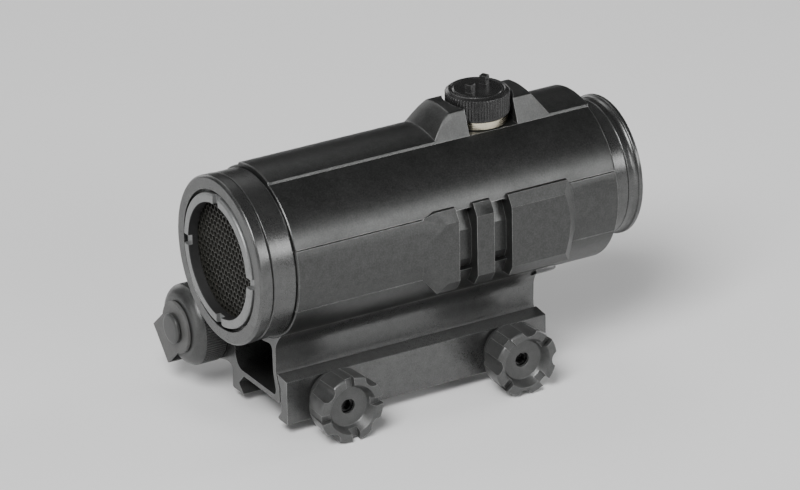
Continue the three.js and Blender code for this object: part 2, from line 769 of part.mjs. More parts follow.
const finish = {
  housing: { color: 0x3a3b3b, roughness: 0.45, metalness: 0.55 },
  ring: { color: 0x3f4040, roughness: 0.4, metalness: 0.55 },
  light: { color: 0x8e8f8d, roughness: 0.4, metalness: 0.6 },
  black: { color: 0x0b0b0b, roughness: 0.6, metalness: 0.2 },
  champagne: { color: 0xcfc4a6, roughness: 0.25, metalness: 1.0 },
  steel: { color: 0x8c8d8e, roughness: 0.35, metalness: 1.0 },
  knob: { color: 0x3b3c3c, roughness: 0.5, metalness: 0.4 },
  rubber: { color: 0x161616, roughness: 0.8, metalness: 0.0 },
  glass: { color: 0x5a3038, roughness: 0.05, metalness: 0.0, transparent: true, opacity: 0.4 },
  board: { color: 0x1d4a2a, roughness: 0.6, metalness: 0.0 },
  emitter: { color: 0xaa1a12, roughness: 0.3, metalness: 0.0 },
  cell: { color: 0x32465a, roughness: 0.4, metalness: 0.2 },
};

const group = new THREE.Group();

function put(name, shape, look, parent = group) {
  const geometry = shape.isBufferGeometry ? shape : geometryOf(shape);
  const mesh = new THREE.Mesh(geometry, new THREE.MeshStandardMaterial(finish[look]));
  mesh.name = name;
  parent.add(mesh);
  return mesh;
}

const cellAt = [CELL_X, 0, CELL_Z];

put("main_housing", mainHousing(), "housing");
put("side_rail_left", sideRail(), "housing");
put("side_panel_right", windagePanel(), "housing");

put("front_ring", frontRing(), "ring");
put("objective_bezel", objectiveBezel(), "ring");
put("front_seal", tubeRing(17.5, 18.1, -43.94, -43.72), "rubber");
put("filter_ring", filterRing(), "light");
put("honeycomb_screen", rod(15.4, SCREEN_FRONT, SCREEN_REAR, "y", TUBE_AT, FINE), "black");

put("pivot_ring", tubeRing(15.5, 16.75, PIVOT_Y - 1.4, PIVOT_Y + 1.4), "steel");
put("inner_tube", tubeRing(INNER_BORE, INNER_R, INNER_FRONT, INNER_REAR, FINE), "black");
const lensProfile = [[0, -33.2], [8, -32.8], [14.0, -31.4], [14.0, -29.2], [8, -29.9], [0, -30.2]];
put("objective_lens", turned(lensProfile, "y", TUBE_AT, COARSE), "glass");
put("lens_retainer", tubeRing(12.9, 14.0, -28.9, -26.9), "black");
put("emitter_block", block([-3.2, 3.2], [30, 36], [AXIS_Z - 13.6, AXIS_Z - 9.4]), "black");
put("led", block([-1, 1], [28.6, 29.7], [AXIS_Z - 11.6, AXIS_Z - 9.9]), "emitter");
const springZone = block([6, 16.5], [18, 35], [AXIS_Z - 16.5, AXIS_Z - 6]);
put("return_spring", tubeRing(16.65, 16.9, 20, 33.5, FINE).intersect(springZone), "steel");

const eyeRing = [
  [14.6, 50.5],
  [16.8, 50.5],
  [16.8, BODY_REAR + 0.05],
  [17.2, BODY_REAR + 0.05],
  [EYE_R, BODY_REAR + 0.5],
  [EYE_R, EYE_SPLIT - 0.2],
  [EYE_R - 0.2, EYE_SPLIT],
  [14.6, EYE_SPLIT],
];
put("eyepiece_ring", turned(eyeRing, "y", TUBE_AT), "ring");
const eyeFlange = [
  [14.9, EYE_SPLIT + 0.05],
  [EYE_R - 0.2, EYE_SPLIT + 0.05],
  [EYE_R - 0.1, EYE_SPLIT + 0.5],
  [EYE_R - 0.5, 61.4],
  [EYE_R - 0.6, 62.2],
  [EYE_R, 62.9],
  [FLANGE_R, 63.3],
  [FLANGE_R, EYE_REAR - 0.3],
  [FLANGE_R - 0.3, EYE_REAR],
  [16.6, EYE_REAR],
  [14.9, 61.6],
];
put("eyepiece_flange", turned(eyeFlange, "y", TUBE_AT), "ring");
put("rear_seal", tubeRing(16.0, 16.7, 49.4, 50.3), "rubber");
put("rear_window", rod(14.4, 54.0, 56.0, "y", TUBE_AT), "glass");
put("window_retainer", tubeRing(13.2, 14.4, 56.2, 57.6), "black");

const turrets = [
  ["elevation", "z", [0, TURRET_Y, AXIS_Z]],
  ["windage", "-x", [0, TURRET_Y, AXIS_Z]],
];
for (const [name, axis, at] of turrets) {
  put(name + "_collar", turretCollar(axis, at), "champagne");
  put(name + "_dial", turretDial(axis, at), "steel");
  put(name + "_plunger", turretPlunger(axis, at), "steel");
  put(name + "_seal", turretSeal(axis, at), "rubber");
  put(name + "_cap", turretCap(axis, at), "black");
}

put("mount_base", mountBase(), "housing");
MOUNT_SCREW_Y.forEach((y, i) => put("mount_screw_" + (i + 1), mountScrew(y), "steel"));
put("clamp_plate", clampPlate(), "housing");
const clampEnds = [["front", -STUD_Y, Math.PI * 0.28], ["rear", STUD_Y, Math.PI * 0.47]];
for (const [end, y, phase] of clampEnds) {
  put("clamp_stud_" + end, clampStud(y), "steel");
  put("clamp_knob_" + end, clampKnob(y, phase), "knob");
  const coil = helix(3.2, 10.75, 12.2, 2, 0.28).rotateZ(-Math.PI / 2);
  put("clamp_spring_" + end, solid(coil.translate(0, y, STUD_Z)), "steel");
}

put("battery_cap", batteryCap(), "knob");
put("battery_cap_gasket", pipe(9.8, 10.3, -37.75, -37.3, "y", cellAt, COARSE), "rubber");
put("cap_contact", rod(4.0, -43.3, -42.9, "y", cellAt), "champagne");
put("cap_stud", capStud(), "knob");
const tetherFrame = new THREE.Group();
tetherFrame.position.set(CELL_X, 0, CELL_Z);
tetherFrame.rotation.y = -TETHER_ANGLE;
group.add(tetherFrame);
put("tether", tether(), "knob", tetherFrame);
put("tether_screw", tetherScrew(), "steel", tetherFrame);
const cellProfile = [
  [0, -42.5],
  [3.2, -42.5],
  [3.2, -41.3],
  [8.1, -41.3],
  [8.4, -41.0],
  [8.4, -7.9],
  [0, -7.9],
];
put("battery_cell", turned(cellProfile, "y", cellAt, COARSE), "cell");
put("battery_spring", solid(helix(5, -7.0, -2.7, 3, 0.35).translate(...cellAt)), "steel");
put("circuit_board", rod(8.6, -2.1, -0.9, "y", cellAt), "board");
put("battery_plug", rod(8.75, -0.5, BOSS_REAR - 0.4, "y", cellAt, FINE), "black");
["up", "down"].forEach((name, i) => {
  put(name + "_button", rod(BUTTON_R, BUTTON_BACK, BUTTON_FACE, "-x", [0, BUTTON_Y[i], BUTTON_Z]), "rubber");
});

export default group;
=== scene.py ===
"""Looks for a compact tube sight on a clamped rail mount. Lengths are in millimetres until a mesh is made."""

import math

import bmesh
import bpy
from mathutils import Matrix, Vector


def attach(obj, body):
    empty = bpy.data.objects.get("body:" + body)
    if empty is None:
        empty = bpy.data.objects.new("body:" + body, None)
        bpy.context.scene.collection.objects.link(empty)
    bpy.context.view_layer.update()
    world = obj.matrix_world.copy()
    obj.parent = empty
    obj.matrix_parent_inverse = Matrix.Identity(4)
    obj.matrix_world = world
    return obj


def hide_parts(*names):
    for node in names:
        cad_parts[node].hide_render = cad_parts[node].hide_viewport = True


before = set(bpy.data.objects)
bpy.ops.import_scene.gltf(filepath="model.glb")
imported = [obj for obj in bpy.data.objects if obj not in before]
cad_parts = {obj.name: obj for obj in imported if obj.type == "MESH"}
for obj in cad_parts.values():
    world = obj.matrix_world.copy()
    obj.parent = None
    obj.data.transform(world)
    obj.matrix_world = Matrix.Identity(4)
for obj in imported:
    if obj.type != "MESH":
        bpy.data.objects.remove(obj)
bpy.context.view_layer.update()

MM = 0.001
AXIS_Z = 37.1
TUBE = (0, 0, AXIS_Z)
BODY_R = 21.9
FRONT_Y, REAR_Y = -37.2, 54.5
TURRET_Y = 26.8
CELL = (-24.2, 0, 9.6)
STUD_Z = 1.2
STUD_Y = 25.025

# ---- geometry helpers ----


def make(name, points, faces):
    mesh = bpy.data.meshes.new(name)
    mesh.from_pydata([Vector(p) * MM for p in points], [], faces)
    made = bpy.data.objects.new(name, mesh)
    bpy.context.scene.collection.objects.link(made)
    shape = bmesh.new()
    shape.from_mesh(mesh)
    bmesh.ops.remove_doubles(shape, verts=shape.verts, dist=1e-7)
    bmesh.ops.recalc_face_normals(shape, faces=shape.faces)
    shape.to_mesh(mesh)
    shape.free()
    return made


def soften(points, radius=0.3, steps=3, closed=True):
    """The polyline with its corners rounded. A third number on a point is that corner's own radius."""
    count = len(points)
    out = []
    for i, point in enumerate(points):
        here = Vector(point[:2])
        own = point[2] if len(point) > 2 else radius
        if own <= 0 or (not closed and i in (0, count - 1)):
            out.append(tuple(here))
            continue
        before = Vector(points[i - 1][:2]) - here
        after = Vector(points[(i + 1) % count][:2]) - here
        reach = min(own, 0.48 * before.length, 0.48 * after.length)
        a = here + before.normalized() * reach
        b = here + after.normalized() * reach
        for k in range(steps + 1):
            t = k / steps
            out.append(tuple(a * (1 - t) ** 2 + here * 2 * t * (1 - t) + b * t * t))
    return out


def place(axis, radial_a, radial_b, height, at):
    """A point of a solid of revolution about an axis."""
    x, y, z = at
    return {
        "x": (x + height, y + radial_a, z + radial_b),
        "-x": (x - height, y - radial_a, z + radial_b),
        "y": (x + radial_a, y + height, z + radial_b),
        "-y": (x - radial_a, y - height, z + radial_b),
        "z": (x + radial_a, y + radial_b, z + height),
    }[axis]


def lathe(name, profile, axis, at, segments=160, shape=None):
    """A closed profile of (radius, height), or one that starts and ends on the axis, turned about it.
    shape(radius, height, angle) gives the radius at an angle, for knurls and flutes."""
    rings = []
    points = []
    for radius, height in profile:
        if radius < 1e-6:
            rings.append([len(points)])
            points.append(place(axis, 0, 0, height, at))
            continue
        ring = []
        for i in range(segments):
            angle = 2 * math.pi * i / segments
            r = shape(radius, height, angle) if shape else radius
            ring.append(len(points))
            points.append(place(axis, r * math.cos(angle), r * math.sin(angle), height, at))
        rings.append(ring)
    faces = []
    pairs = list(zip(rings, rings[1:]))
    if len(rings[0]) > 1:
        pairs.append((rings[-1], rings[0]))
    for low, high in pairs:
        for i in range(segments):
            j = (i + 1) % segments
            if len(low) == 1:
                faces.append((low[0], high[i], high[j]))
            elif len(high) == 1:
                faces.append((low[i], high[0], low[j]))
            else:
                faces.append((low[i], high[i], high[j], low[j]))
    return make(name, points, faces)


def rod(name, radius, low, high, axis, at, segments):
    return lathe(name, [(0, low), (radius, low), (radius, high), (0, high)], axis, at, segments)


def prism(name, outline, axis, low, high):
    """An outline extruded along an axis: (x, z) along y, (y, z) along x, (x, y) along z."""
    def point(a, b, h):
        return {"y": (a, h, b), "x": (h, a, b), "z": (a, b, h)}[axis]

    count = len(outline)
    points = [point(a, b, low) for a, b in outline] + [point(a, b, high) for a, b in outline]
    faces = [tuple(range(count)), tuple(range(2 * count - 1, count - 1, -1))]
    for i in range(count):
        j = (i + 1) % count
        faces.append((i, count + i, count + j, j))
    return make(name, points, faces)


def box(name, x, y, z):
    return prism(name, [(x[0], z[0]), (x[1], z[0]), (x[1], z[1]), (x[0], z[1])], "y", *y)


def loft(name, sections):
    """Closed outlines, all with as many points, joined one after another and capped."""
    count = len(sections[0])
    points = [p for section in sections for p in section]
    faces = []
    for s in range(len(sections) - 1):
        for i in range(count):
            j = (i + 1) % count
            faces.append((s * count + i, (s + 1) * count + i, (s + 1) * count + j, s * count + j))
    faces.append(tuple(range(count)))
    last = (len(sections) - 1) * count
    faces.append(tuple(range(last + count - 1, last - 1, -1)))
    return make(name, points, faces)


def hull(name, points):
    made = make(name, points, [])
    shape = bmesh.new()
    shape.from_mesh(made.data)
    result = bmesh.ops.convex_hull(shape, input=shape.verts)
    spare = result["geom_interior"] + result["geom_unused"]
    loose = [v for v in spare if isinstance(v, bmesh.types.BMVert)]
    bmesh.ops.delete(shape, geom=list(set(loose)), context="VERTS")
    bmesh.ops.recalc_face_normals(shape, faces=shape.faces)
    bmesh.ops.dissolve_limit(shape, angle_limit=0.01, verts=shape.verts, edges=shape.edges)
    shape.to_mesh(made.data)
    shape.free()
    return made


def settle(piece):
    """The piece's modifiers, applied."""
    graph = bpy.context.evaluated_depsgraph_get()
    mesh = bpy.data.meshes.new_from_object(piece.evaluated_get(graph))
    old = piece.data
    piece.modifiers.clear()
    piece.data = mesh
    bpy.data.meshes.remove(old)
    return piece


def combine(piece, other, operation):
    step = piece.modifiers.new("combine", "BOOLEAN")
    step.operation = operation
    step.solver = "EXACT"
    step.object = other
    settle(piece)
    bpy.data.objects.remove(other)
    return piece


def cut(piece, *others):
    for other in others:
        combine(piece, other, "DIFFERENCE")
    return piece


def add(piece, *others):
    for other in others:
        combine(piece, other, "UNION")
    return piece


def bevel(piece, width, angle=50, segments=2):
    step = piece.modifiers.new("bevel", "BEVEL")
    step.width = width * MM
    step.segments = segments
    step.limit_method = "ANGLE"
    step.angle_limit = math.radians(angle)
    step.miter_outer = "MITER_ARC"
    step.use_clamp_overlap = True
    return settle(piece)


def turn(piece, matrix):
    piece.data.transform(matrix)
    return piece


def finish(piece, look, body, slot, *nodes, smooth=32, weighted=True):
    mesh = piece.data
    mesh.materials.clear()
    mesh.materials.append(look)
    mesh.polygons.foreach_set("use_smooth", [True] * len(mesh.polygons))
    mesh.set_sharp_from_angle(angle=math.radians(smooth))
    if weighted:
        step = piece.modifiers.new("normals", "WEIGHTED_NORMAL")
        step.keep_sharp = True
        settle(piece)
    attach(piece, body)
    if nodes:
        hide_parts(*nodes)
    return piece


# ---- materials ----

GRAIN_RELIEF, TOOL_LINE_RELIEF = 0.03, 0.02

def nodes_of(name):
    look = bpy.data.materials.new(name)
    look.use_nodes = True
    tree = look.node_tree
    return look, tree, tree.nodes["Principled BSDF"]


def link(tree, a, b):
    tree.links.new(a, b)


def noise(tree, where, scale, detail=2.0, roughness=0.5):
    node = tree.nodes.new("ShaderNodeTexNoise")
    node.inputs["Scale"].default_value = scale
    node.inputs["Detail"].default_value = detail
    node.inputs["Roughness"].default_value = roughness
    link(tree, where, node.inputs["Vector"])
    return node.outputs["Fac"]


def spread(tree, value, low, high, start=0.3, end=0.7):
    node = tree.nodes.new("ShaderNodeMapRange")
    node.inputs["From Min"].default_value = start
    node.inputs["From Max"].default_value = end
    node.inputs["To Min"].default_value = low
    node.inputs["To Max"].default_value = high
    link(tree, value, node.inputs["Value"])
    return node.outputs["Result"]


def mix(tree, factor, a, b):
    node = tree.nodes.new("ShaderNodeMix")
    node.data_type = "RGBA"
    link(tree, factor, node.inputs["Factor"])
    for value, socket in ((a, node.inputs["A"]), (b, node.inputs["B"])):
        if isinstance(value, tuple):
            socket.default_value = (*value, 1)
        else:
            link(tree, value, socket)
    return node.outputs["Result"]


def edge_wear_and_highlight_mask(tree, radius):
    """How strongly the surface turns within a radius: 0 on a flat, 1 at an edge."""
    round_normal = tree.nodes.new("ShaderNodeBevel")
    round_normal.samples = 6
    round_normal.inputs["Radius"].default_value = radius * MM
    true_normal = tree.nodes.new("ShaderNodeNewGeometry")
    dot = tree.nodes.new("ShaderNodeVectorMath")
    dot.operation = "DOT_PRODUCT"
    link(tree, round_normal.outputs["Normal"], dot.inputs[0])
    link(tree, true_normal.outputs["Normal"], dot.inputs[1])
    return spread(tree, dot.outputs["Value"], 1, 0, 0.80, 0.99)


def anodised(name, colour, edge_wear_and_highlight_colour, rough, grain=0.26, depth=0.35, metal=0.0, wear_and_highlight_reach=0.22, marks=0.10):
    """Bead-blasted and dyed metal: a fine even grain, faint cloudiness, and paler, less metallic edges; the
    paleness is partly wear and partly a painted highlight along every edge.
    """
    look, tree, shader = nodes_of(name)
    where = tree.nodes.new("ShaderNodeTexCoord").outputs["Object"]
    fine = noise(tree, where, 1000 / grain, 3.0, 0.75)
    broad = noise(tree, where, 90, 3.0, 0.55)
    cloud = noise(tree, where, 520, 2.0, 0.5)
    dark = tuple(c * (1 - marks) for c in colour)
    pale = tuple(c * (1 + marks) for c in colour)
    base = mix(tree, spread(tree, cloud, 0, 1), dark, pale)
    glint = tuple(min(0.8, c * 2.2) for c in colour)
    speck = mix(tree, spread(tree, fine, 0, 0.36, 0.42, 0.72), base, glint)
    # Edges are painted paler here: partly wear, partly a painted highlight where light would catch the rounded
    # edges.
    wear_and_highlight_amount = tree.nodes.new("ShaderNodeMath")
    wear_and_highlight_amount.operation = "MULTIPLY"
    wear_and_highlight_amount.use_clamp = True
    link(tree, edge_wear_and_highlight_mask(tree, wear_and_highlight_reach), wear_and_highlight_amount.inputs[0])
    link(tree, spread(tree, cloud, 0.55, 1.0), wear_and_highlight_amount.inputs[1])
    link(tree, mix(tree, wear_and_highlight_amount.outputs[0], speck, edge_wear_and_highlight_colour), shader.inputs["Base Color"])
    rough_value = tree.nodes.new("ShaderNodeMath")
    rough_value.operation = "ADD"
    link(tree, spread(tree, broad, rough - 0.03, rough + 0.03), rough_value.inputs[0])
    link(tree, spread(tree, fine, -0.05, 0.05), rough_value.inputs[1])
    link(tree, rough_value.outputs[0], shader.inputs["Roughness"])
    bump = tree.nodes.new("ShaderNodeBump")
    bump.inputs["Strength"].default_value = depth
    bump.inputs["Distance"].default_value = GRAIN_RELIEF * MM
    link(tree, fine, bump.inputs["Height"])
    link(tree, bump.outputs["Normal"], shader.inputs["Normal"])
    if metal:
        link(tree, spread(tree, wear_and_highlight_amount.outputs[0], metal, metal * 0.35, 0, 1), shader.inputs["Metallic"])
    shader.inputs["Specular IOR Level"].default_value = 0.6
    return look


def turned_metal(name, colour, rough, rings=3500):
    """Bright turned metal with fine tool lines and slight tarnish."""
    look, tree, shader = nodes_of(name)
    where = tree.nodes.new("ShaderNodeTexCoord").outputs["Object"]
    stretch = tree.nodes.new("ShaderNodeMapping")
    stretch.inputs["Scale"].default_value = (60, 60, rings)
    link(tree, where, stretch.inputs["Vector"])
    lines = noise(tree, stretch.outputs["Vector"], 1.0, 2.0)
    cloud = noise(tree, where, 400, 3.0)
    dark = tuple(c * 0.72 for c in colour)
    link(tree, mix(tree, spread(tree, cloud, 0, 1), dark, colour), shader.inputs["Base Color"])
    link(tree, spread(tree, lines, rough - 0.06, rough + 0.08), shader.inputs["Roughness"])
    bump = tree.nodes.new("ShaderNodeBump")
    bump.inputs["Strength"].default_value = 0.25
    bump.inputs["Distance"].default_value = TOOL_LINE_RELIEF * MM
    link(tree, lines, bump.inputs["Height"])
    link(tree, bump.outputs["Normal"], shader.inputs["Normal"])
    shader.inputs["Metallic"].default_value = 1.0
    return look


def moulded(name, colour, rough, grain=0.3, depth=0.5, specular=0.4):
    """Rubber or plastic: a soft pebbled grain and slight colour change."""
    look, tree, shader = nodes_of(name)
    where = tree.nodes.new("ShaderNodeTexCoord").outputs["Object"]
    pebble = noise(tree, where, 1000 / grain, 2.0)
    cloud = noise(tree, where, 300, 2.0)
    dark = tuple(c * 0.8 for c in colour)
    link(tree, mix(tree, spread(tree, cloud, 0, 1), dark, colour), shader.inputs["Base Color"])
    link(tree, spread(tree, pebble, rough - 0.06, rough + 0.06), shader.inputs["Roughness"])
    bump = tree.nodes.new("ShaderNodeBump")
    bump.inputs["Strength"].default_value = depth
    bump.inputs["Distance"].default_value = GRAIN_RELIEF * MM
    link(tree, pebble, bump.inputs["Height"])
    link(tree, bump.outputs["Normal"], shader.inputs["Normal"])
    shader.inputs["Specular IOR Level"].default_value = specular
    return look


def coated_glass(name, tint):
    look, tree, shader = nodes_of(name)
    where = tree.nodes.new("ShaderNodeTexCoord").outputs["Object"]
    film = noise(tree, where, 60, 1.0)
    warm = tuple(min(1, c * 1.1) for c in tint)
    link(tree, mix(tree, spread(tree, film, 0, 1), tint, warm), shader.inputs["Base Color"])
    link(tree, spread(tree, noise(tree, where, 800, 2.0), 0.02, 0.06), shader.inputs["Roughness"])
    shader.inputs["Transmission Weight"].default_value = 0.9
    shader.inputs["IOR"].default_value = 1.5
    shader.inputs["Coat Weight"].default_value = 0.5
    return look


# The second colour of each finish is its edge colour, painted on every edge: partly wear, partly a painted
# highlight.
housing_look = anodised(
    "anodised_housing", (0.064, 0.065, 0.064), (0.40, 0.40, 0.395), 0.35, grain=0.40, depth=1.0, metal=0.85
)
ring_look = anodised(
    "anodised_rings", (0.100, 0.101, 0.100), (0.38, 0.38, 0.375), 0.30, depth=0.3, metal=0.85
)
mount_look = anodised(
    "anodised_mount", (0.105, 0.106, 0.105), (0.46, 0.46, 0.455), 0.31, depth=0.35, metal=0.8
)
knob_look = anodised(
    "anodised_knobs", (0.078, 0.079, 0.078), (0.36, 0.36, 0.358), 0.38, depth=0.25, metal=0.6, wear_and_highlight_reach=0.18
)
battery_look = anodised(
    "anodised_battery_cap", (0.058, 0.059, 0.058), (0.34, 0.34, 0.338), 0.38, depth=0.3, metal=0.6, wear_and_highlight_reach=0.18
)
cap_look = anodised(
    "black_caps", (0.030, 0.030, 0.030), (0.26, 0.26, 0.258), 0.28, depth=0.3, metal=0.6, wear_and_highlight_reach=0.16
)
filter_look = anodised(
    "filter_ring_grey", (0.19, 0.193, 0.192), (0.42, 0.42, 0.415), 0.36, depth=0.35, metal=0.6, wear_and_highlight_reach=0.16
)
screen_look = anodised(
    "honeycomb_black", (0.012, 0.012, 0.010), (0.11, 0.105, 0.085), 0.45, depth=0.2, wear_and_highlight_reach=0.07
)
inside_look = anodised("inner_black", (0.010, 0.010, 0.010), (0.03, 0.03, 0.03), 0.6)
champagne_look = turned_metal("champagne_nickel", (0.72, 0.66, 0.52), 0.24)
steel_look = turned_metal("turned_steel", (0.42, 0.42, 0.42), 0.34)
oxide_look = turned_metal("black_oxide_steel", (0.10, 0.10, 0.10), 0.3)
rubber_look = moulded("black_rubber", (0.025, 0.025, 0.024), 0.6)
tether_look = moulded("tether_rubber", (0.095, 0.095, 0.093), 0.5, depth=0.35)
plastic_look = moulded("moulded_plastic", (0.015, 0.015, 0.015), 0.45, 0.2, 0.3)
board_look = moulded("green_board", (0.01, 0.09, 0.035), 0.4, 0.8, 0.3)
cell_look = moulded("cell_sleeve", (0.05, 0.10, 0.16), 0.3, 1.0, 0.1)
emitter_look = moulded("red_emitter", (0.5, 0.02, 0.015), 0.15, 0.5, 0.1)
lens_look = coated_glass("coated_lens", (0.75, 0.38, 0.34))
window_look = coated_glass("coated_window", (0.62, 0.72, 0.62))

# ---- main housing: the tube, its raised spine and the turret guard ----

LEDGE = (7.75, AXIS_Z + 20.45)
SPINE_R = 22.45
LEAN = math.tan(math.radians(20))
GUARD_R = 27.34
GUARD_FRONT = [
    (7.0, 19.0),
    (9.6, 22.0),
    (11.1, 23.7),
    (12.25, 24.9),
    (13.2, 25.85),
    (14.3, 26.72),
    (15.4, 27.4),
]
GUARD_REAR_Y, GUARD_REAR_SLOPE = 38.9, 1.19
PANEL_TOP_ANGLE, PANEL_BOTTOM_ANGLE = 20.3, -23.6
SEAM = 0.42  # half the gap above a side panel, in degrees; the gap below it is half as wide
PANEL_INNER_R = 18.4
BODY_BORE_R = 17.0
WELL_R, WELL_HALF, WELL_FLOOR_Z, WELL_TOP_Z = 8.9, 7, 57.6, 70
TURRET_BORE_R = 6.8


def smooth_max(a, b, width):
    h = max(0.0, min(1.0, 0.5 + 0.5 * (a - b) / width))
    return b + (a - b) * h + width * h * (1 - h) * 0.5


def smooth_min(a, b, width):
    return -smooth_max(-a, -b, width)


def along(table, y):
    """The height of a smooth curve through the table's points."""
    for i in range(len(table) - 1):
        (y0, r0), (y1, r1) = table[i], table[i + 1]
        if y <= y1 or i == len(table) - 2:
            before = table[max(0, i - 1)]
            after = table[min(len(table) - 1, i + 2)]
            m0 = (r1 - before[1]) / (y1 - before[0]) * (y1 - y0)
            m1 = (after[1] - r0) / (after[0] - y0) * (y1 - y0)
            t = (y - y0) / (y1 - y0)
            return (
                (2 * t**3 - 3 * t**2 + 1) * r0
                + (t**3 - 2 * t**2 + t) * m0
                + (3 * t**2 - 2 * t**3) * r1
                + (t**3 - t**2) * m1
            )


def guard_radius(y):
    """The guard is a band turned about the tube's axis, rounded before and straight behind."""
    front = along(GUARD_FRONT, y) if y > GUARD_FRONT[0][0] else 0
    rear = GUARD_R - GUARD_REAR_SLOPE * (y - GUARD_REAR_Y)
    ramp = front if y < GUARD_FRONT[-1][0] else GUARD_R
    return smooth_min(smooth_min(ramp, GUARD_R, 0.12), rear, 0.12)


def top_height(x, y):
    r = smooth_max(SPINE_R, guard_radius(y), 0.3)
    return AXIS_Z + math.sqrt(r * r - x * x)


def body_section(y, inset=0.0):
    """Half the outline, from the bottom round to the top centre, then mirrored."""
    half = []
    start, end = -90.0, math.degrees(math.atan2(LEDGE[1] - AXIS_Z, LEDGE[0]))
    for i in range(109):
        a = math.radians(start + (end - start) * i / 108)
        half.append((BODY_R * math.cos(a), AXIS_Z + BODY_R * math.sin(a)))
    corner_z = LEDGE[1] + 0.8
    for _ in range(30):
        corner_x = LEDGE[0] - (corner_z - LEDGE[1]) * LEAN
        corner_z += 0.7 * (top_height(corner_x, y) - corner_z)
    corner_x = LEDGE[0] - (corner_z - LEDGE[1]) * LEAN
    rise = corner_z - LEDGE[1]
    for t in (0.15, 0.4, 0.7):
        half.append((LEDGE[0] - rise * t * LEAN, LEDGE[1] + rise * t))
    r = min(0.28, rise * 0.25)
    flank = Vector((LEAN, -1)).normalized()
    inner_x = corner_x - r
    top = Vector((inner_x, top_height(inner_x, y)))
    side = Vector((corner_x, corner_z)) + flank * r
    middle = Vector((corner_x, corner_z))
    for t in (0, 0.25, 0.5, 0.75, 1):
        half.append(tuple(side * (1 - t) ** 2 + middle * 2 * t * (1 - t) + top * t * t))
    for i in range(1, 15):
        x = inner_x * (1 - i / 14)
        half.append((x, top_height(x, y)))
    outline = half + [(-x, z) for x, z in reversed(half[1:-1])]
    if inset:
        moved = []
        for x, z in outline:
            d = math.hypot(x, z - AXIS_Z)
            k = (d - inset) / d
            moved.append((x * k, AXIS_Z + (z - AXIS_Z) * k))
        outline = moved
    return [(x, y, z) for x, z in outline]


def stations():
    ys = [FRONT_Y + 0.3]
    while ys[-1] < REAR_Y - 2.3:
        y = ys[-1]
        ys.append(y + (0.25 if 8 < y < 16 or 38 < y < 44 else 1.6))
    return ys


def ring_sector(name, inner, outer, low_angle, high_angle, y0, y1, chamfer=0.0, steps=60):
    """Part of a tube wall between two angles, on the left side of the tube."""
    sections = []
    ends = [(y0, chamfer), (y0 + max(chamfer, 0.01), 0), (y1 - max(chamfer, 0.01), 0), (y1, chamfer)]
    for y, inset in ends:
        loop = []
        for i in range(steps + 1):
            a = math.radians(low_angle + (high_angle - low_angle) * i / steps)
            r = outer - inset
            loop.append((r * math.cos(a), y, AXIS_Z + r * math.sin(a)))
        for i in range(steps + 1):
            a = math.radians(high_angle + (low_angle - high_angle) * i / steps)
            loop.append((inner * math.cos(a), y, AXIS_Z + inner * math.sin(a)))
        sections.append(loop)
    return loft(name, sections)


def main_housing():
    sections = [body_section(FRONT_Y, 0.3), body_section(FRONT_Y + 0.08, 0.14)]
    sections += [body_section(y) for y in stations()]
    for t in (0, 30, 60, 90):
        a = math.radians(t)
        y = REAR_Y - 0.45 + 0.45 * math.sin(a)
        sections.append(body_section(y, 0.45 * (1 - math.cos(a))))
    body = loft("main_housing_shell", sections)
    for side in (0, 180):
        recess = ring_sector(
            "recess",
            PANEL_INNER_R - 0.1,
            BODY_R + 3,
            PANEL_BOTTOM_ANGLE - SEAM / 2,
            PANEL_TOP_ANGLE + SEAM,
            FRONT_Y - 1,
            REAR_Y + 1,
        )
        if side:
            turn(recess, Matrix.Diagonal((-1, 1, 1, 1)))
            recess.data.flip_normals()
        cut(body, recess)
    well = rod("well", WELL_R, WELL_FLOOR_Z, WELL_TOP_Z, "z", (0, TURRET_Y, 0), 120)
    across = (TURRET_Y - WELL_HALF, TURRET_Y + WELL_HALF)
    cut(body, well, box("slot", (-11, 11), across, (WELL_FLOOR_Z, WELL_TOP_Z)))
    cut(body, rod("bore", BODY_BORE_R, FRONT_Y - 1, REAR_Y + 1, "y", TUBE, 120))
    for axis in ("z", "-x"):
        cut(body, rod("turret_hole", TURRET_BORE_R, 10, 40, axis, (0, TURRET_Y, AXIS_Z), 64))
    bevel(body, 0.13, 55)
    return body


finish(main_housing(), housing_look, "sight", "housing", "main_housing", smooth=28)

# ---- left panel with the accessory rail ----

LAND_X = 23.04
LAND_LOW, LAND_HIGH = 27.1, 43.1
LAND_MID = (LAND_LOW + LAND_HIGH) / 2
ROOT_X = 21.2  # the bevels' outer root, which stands proud of the tube
ROOT_RISE = 2.9
SLOTS = (7.55, 17.56)
SLOT_WIDTH = 5.1


def on_body(angle, y):
    a = math.radians(angle)
    return (BODY_R * math.cos(a), y, AXIS_Z + BODY_R * math.sin(a))


